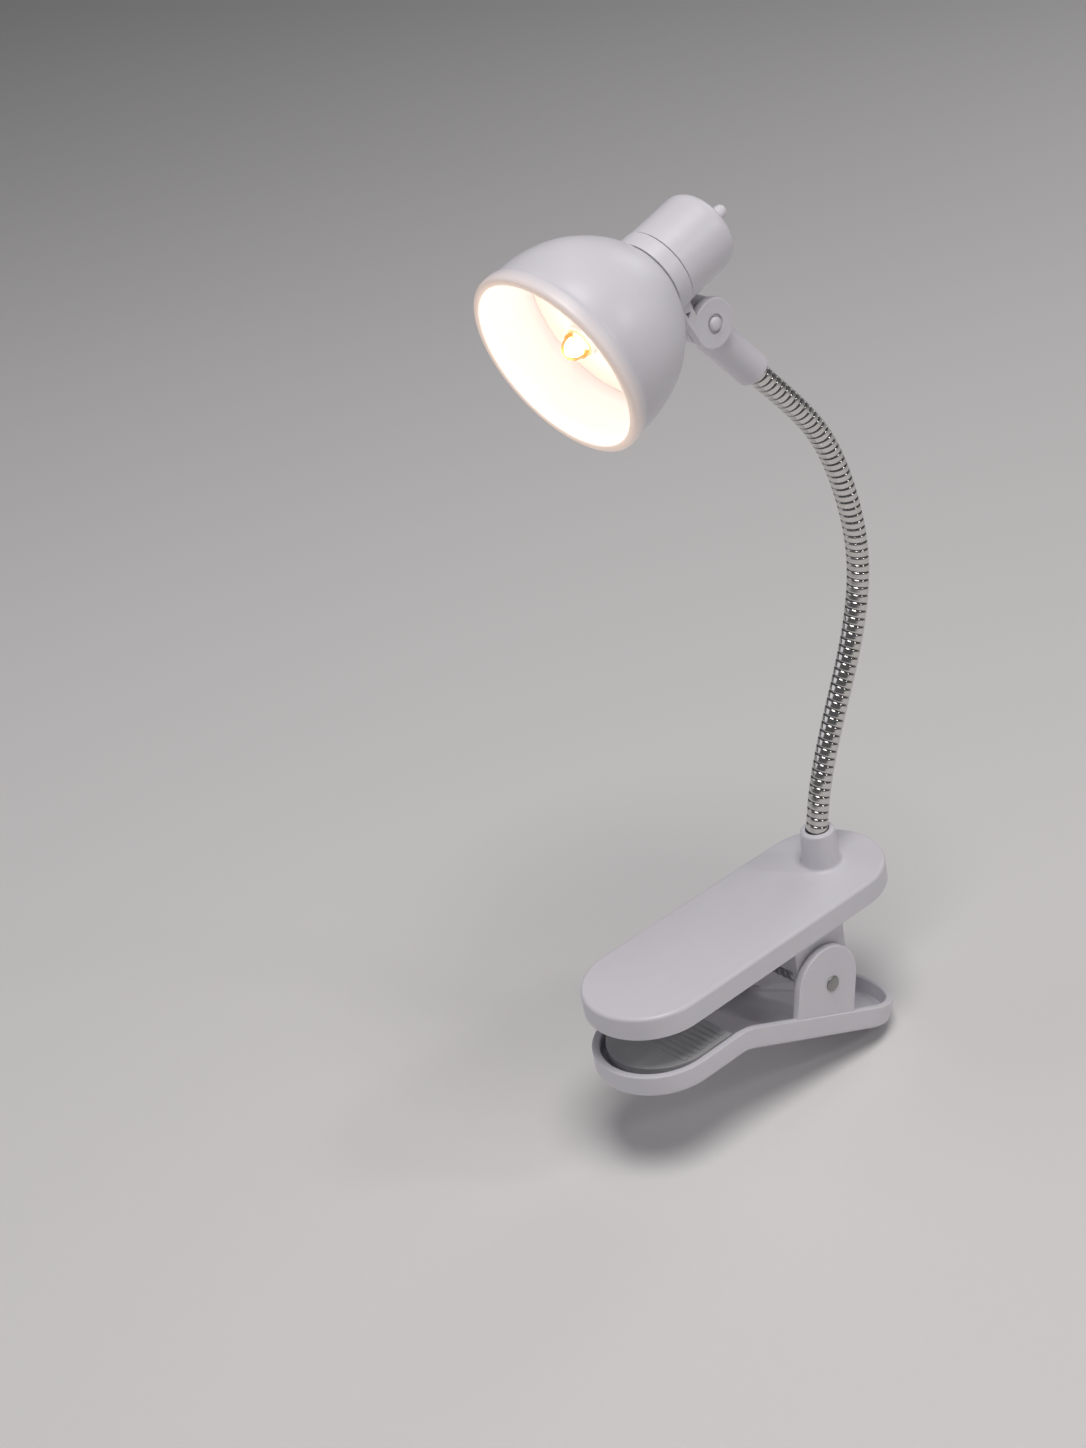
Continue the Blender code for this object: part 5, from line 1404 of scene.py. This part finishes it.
def inward(outline, wall):
    moved = []
    for i, (along, radius) in enumerate(outline):
        before = outline[max(i - 1, 0)]
        after = outline[min(i + 1, len(outline) - 1)]
        step = Vector((after[0] - before[0], after[1] - before[1])).normalized()
        moved.append((along + step.y * wall, radius - step.x * wall))
    return moved


def mark_painted_lip_glow(shade):
    """How strongly the painted glow shows on the shade's lip at each point, from 0 to 1; the glow
    stands in for the lamp's light coming through the plastic.
    """
    inverse = HEAD.inverted()
    marks = shade.data.attributes.new("Lip", "FLOAT", "POINT")
    for vertex in shade.data.vertices:
        point = inverse @ (vertex.co / MM)
        radius = math.hypot(point.x, point.y)
        front = max(0.0, 1.0 - point.z / LIP_GLOW_DEPTH)
        inward_share = (MOUTH_RADIUS + LIP_GLOW_SPREAD - radius) / (RIM_LIP + LIP_GLOW_SPREAD)
        inward_share = min(max(inward_share, 0.0), 1.0)
        value = front * (LIP_GLOW_LEAST + (1.0 - LIP_GLOW_LEAST) * inward_share)
        marks.data[vertex.index].value = value


def build_shade():
    mouth = MOUTH_RADIUS
    bead = [(0.0, mouth - 1.2)]
    for s, c in quarter_turn(8):
        bead.append((0.9 * (1 - c), mouth - 0.9 * (1 - s)))
    bead += [(2.7, mouth), (3.0, mouth - 0.05), (3.3, mouth - 0.3), (3.5, mouth - 0.41)]
    dome = shade_line()
    hole = SLEEVE_RADIUS + FIT_GAP
    inside = [p for p in inward(dome[12:], SHADE_WALL) if p[1] > hole + 1.2]
    lip = mouth - RIM_LIP
    inner = [(0.0, lip + 0.45), (0.08, lip + 0.2), (0.28, lip + 0.05), (0.6, lip),
             (3.4, lip - 0.1)] + inside
    back = SHADE_LENGTH - SHADE_WALL * 1.15
    outline = bead + dome + [(SHADE_LENGTH, hole), (back, hole)] + inner[::-1]
    shade = to_object("lamp_shade", turned(outline, ROUND_STEPS, HEAD), FINISH["painted_glow_shell"])
    mark_painted_lip_glow(shade)
    place_piece(shade, "head", ["shade"])


def reflector_reach():
    depth = REFLECTOR_DEPTH + REFLECTOR_THICKNESS
    line = shade_line()
    for (a, ra), (b, rb) in zip(line, line[1:]):
        if a <= depth <= b:
            radius = ra + (rb - ra) * (depth - a) / (b - a)
            return radius - SHADE_WALL * 1.12 - FIT_GAP
    return MOUTH_RADIUS * 0.7


def build_reflector():
    front = REFLECTOR_DEPTH
    back = front + REFLECTOR_THICKNESS
    nose = LED_TIP_DEPTH + LED_BODY_LENGTH + FIT_GAP
    radius = reflector_reach()
    outline = [(nose, 1.9), (nose, HOLDER_RADIUS - 0.3), (nose + 0.3, HOLDER_RADIUS),
               (front - 1.2, HOLDER_RADIUS + 0.1)]
    for s, c in quarter_turn(6, first=1):
        outline.append((front - 1.2 + 1.2 * s, HOLDER_RADIUS + 0.1 + 1.2 * (1 - c)))
    outline += [(front, radius - 0.2), (front + 0.2, radius), (back, radius), (back, 1.9)]
    dish = to_object("reflector_dish", turned(outline, ROUND_STEPS, HEAD), FINISH["white_inner"])
    place_piece(dish, "head", ["reflector"])


def build_led():
    tip = LED_TIP_DEPTH
    end = tip + LED_BODY_LENGTH
    outline = []
    for s, c in quarter_turn(12, first=1):
        outline.append((tip + LED_RADIUS * (1 - c), LED_RADIUS * s))
    outline += [(end - 0.9, LED_RADIUS), (end - 0.9, LED_FLANGE_RADIUS - 0.1),
                (end - 0.8, LED_FLANGE_RADIUS), (end, LED_FLANGE_RADIUS)]
    lens = turned([(tip, 0.0)] + outline + [(end, 0.0)], FINE_STEPS, HEAD, closed=False)
    place_piece(to_object("led_lens", lens, FINISH["led_resin"]), "head", ["led"])
    core = [(end - 2.4, 0.0)]
    for s, c in quarter_turn(8, first=1):
        core.append((end - 2.4 + 1.2 * (1 - c), 1.3 * s))
    core += [(end - 0.5, 1.3), (end - 0.5, 0.0)]
    die = to_object("led_die", turned(core, SMALL_STEPS, HEAD, closed=False), FINISH["led_glow"])
    polish(die)
    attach(die, "head")


def build_cap():
    start = SHADE_LENGTH + FIT_GAP + COLLAR_RING_LENGTH + FIT_GAP
    end = CAP_END
    inner = SLEEVE_RADIUS + FIT_GAP + RUNNING_GAP
    end_inner = end - CAP_END_WALL
    boss = BUTTON_RADIUS + 1.15
    bore = BUTTON_RADIUS + RUNNING_GAP + 0.05
    outline = [(start, inner), (start, CAP_RADIUS - 0.2), (start + 0.06, CAP_RADIUS - 0.06),
               (start + 0.2, CAP_RADIUS)]
    for s, c in quarter_turn(12):
        outline.append((end - CAP_ROUND + CAP_ROUND * s, CAP_RADIUS - CAP_ROUND + CAP_ROUND * c))
    outline += rounded([(end, boss + 0.3), (end, boss), (end + 0.5, boss - 0.45),
                        (end + 1.6, BUTTON_RADIUS + 0.45), (end + 1.6, bore)], 0.25, 4,
                       closed=False)
    outline += [(end_inner, bore), (end_inner, inner - 1.6), (end_inner - 1.2, inner)]
    cap = to_object("battery_cap_shell", turned(outline, ROUND_STEPS, HEAD),
                    FINISH["white_shell"])
    place_piece(cap, "cap", ["battery_cap"])


def build_button():
    flange_end = CAP_END - CAP_END_WALL - FIT_GAP
    flange_start = flange_end - BUTTON_FLANGE_THICKNESS
    tip = CAP_END + BUTTON_REACH
    outline = [(flange_start, BUTTON_FLANGE_RADIUS), (flange_end, BUTTON_FLANGE_RADIUS),
               (flange_end, BUTTON_RADIUS)]
    for s, c in quarter_turn(12, last=11):
        outline.append((tip - BUTTON_RADIUS + BUTTON_RADIUS * s, BUTTON_RADIUS * c))
    mesh = turned([(flange_start, 0.0)] + outline + [(tip, 0.0)], SMALL_STEPS, HEAD, closed=False)
    place_piece(to_object("switch_nub", mesh, FINISH["white_shell"]), "button",
                ["switch_button"])


# --- CAD nodes that stay ---------------------------------------------------------------------

KEPT_NODES = {
    "contact_nickel": ["neck_root_ferrule", "neck_nut", "neck_top_ferrule", "friction_washer_far",
                       "friction_washer_near", "led_lead_plus", "led_lead_minus", "front_contact",
                       "contact_spring", "rear_contact"],
    "board_green": ["led_board"],
    "resistor_body": ["resistor"],
    "cell_steel": ["button_cell_1", "button_cell_2", "button_cell_3"],
    "white_inner": ["battery_sleeve"],
    "switch_black": ["switch_body"],
}


def finish_kept_nodes():
    for finish, names in KEPT_NODES.items():
        for name in names:
            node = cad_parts[name]
            node.data.materials.clear()
            node.data.materials.append(FINISH[finish])


# --- studio ----------------------------------------------------------------------------------

def studio_floor():
    made, tree, shader, place = start_material("Studio floor")
    grain = group_node(tree, GRAIN, place, {"Grain scale": 500.0, "Wave scale": 3.0})
    tree.links.new(mix_colour(tree, grain.outputs["Cloud"], (0.76, 0.75, 0.74), (0.80, 0.79, 0.78)),
                   shader.inputs["Base Color"])
    shader.inputs["Roughness"].default_value = 0.85
    mesh = bmesh.new()
    bmesh.ops.create_circle(mesh, cap_ends=True, radius=6.0, segments=96)
    data = bpy.data.meshes.new("floor")
    mesh.to_mesh(data)
    mesh.free()
    data.transform(Matrix.Translation((0.0, 0.0, CAD_LOW.z - 0.0004)))
    floor = bpy.data.objects.new("floor", data)
    data.materials.append(made)
    bpy.context.scene.collection.objects.link(floor)


def area_light(name, place, target, size, power, colour):
    data = bpy.data.lights.new(name, "AREA")
    data.shape = "DISK"
    data.size = size
    data.energy = power
    data.color = colour
    lamp = bpy.data.objects.new(name, data)
    bpy.context.scene.collection.objects.link(lamp)
    lamp.location = place
    lamp.rotation_euler = (Vector(target) - Vector(place)).to_track_quat("-Z", "Y").to_euler()


def studio_lights():
    world = bpy.data.worlds.new("Studio air")
    world.use_nodes = True
    back = world.node_tree.nodes["Background"]
    back.inputs["Color"].default_value = (0.62, 0.62, 0.66, 1.0)
    back.inputs["Strength"].default_value = 0.17
    bpy.context.scene.world = world
    bpy.context.scene.view_settings.view_transform = "Standard"
    aim = (0.0, 0.03, 0.08)
    area_light("key_light", (0.28, -0.08, 1.0), aim, 0.5, 6.2, (1.0, 0.975, 0.965))
    area_light("fill_light", (-0.7, -0.7, 0.5), aim, 0.9, 1.5, (0.93, 0.94, 1.0))
    area_light("rim_light", (-0.2, 0.95, 0.55), aim, 0.4, 0.7, (0.97, 0.98, 1.0))
    area_light("edge_light", (0.72, 0.53, 0.58), aim, 0.14, 0.9, (1.0, 0.98, 0.96))


def lamp_glow():
    """The light that the LED throws, carried by the head."""
    data = bpy.data.lights.new("led_throw", "POINT")
    data.energy = 0.0150
    data.color = (1.0, 0.84, 0.68)
    data.shadow_soft_size = 0.0022
    lamp = bpy.data.objects.new("led_throw", data)
    bpy.context.scene.collection.objects.link(lamp)
    lamp.location = (HEAD @ Vector((0.0, 0.0, LED_TIP_DEPTH - 2.6))) * MM
    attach(lamp, "head")


def studio_camera():
    data = bpy.data.cameras.new("camera")
    data.lens = 64.63
    data.sensor_width = 36.0
    data.clip_start = 0.01
    data.clip_end = 50.0
    camera = bpy.data.objects.new("camera", data)
    bpy.context.scene.collection.objects.link(camera)
    right = (0.642245, 0.746397, -0.174394)
    down = (0.27244, -0.434953, -0.85825)
    ahead = (-0.716448, 0.503694, -0.482695)
    place = (0.38018, -0.28252, 0.33452)
    rows = [(right[k], -down[k], -ahead[k], place[k]) for k in range(3)]
    camera.matrix_world = Matrix(rows + [(0.0, 0.0, 0.0, 1.0)])
    bpy.context.scene.camera = camera


def build_lamp():
    build_clip_plate()
    build_pivot_bracket()
    build_screws()
    build_pads()
    build_lower_jaw()
    build_pivot()
    build_spring()
    build_neck()
    build_connector()
    build_knuckle()
    build_head_collar()
    build_shade()
    build_reflector()
    build_led()
    build_cap()
    build_button()
    finish_kept_nodes()


build_lamp()
studio_floor()
studio_lights()
lamp_glow()
studio_camera()
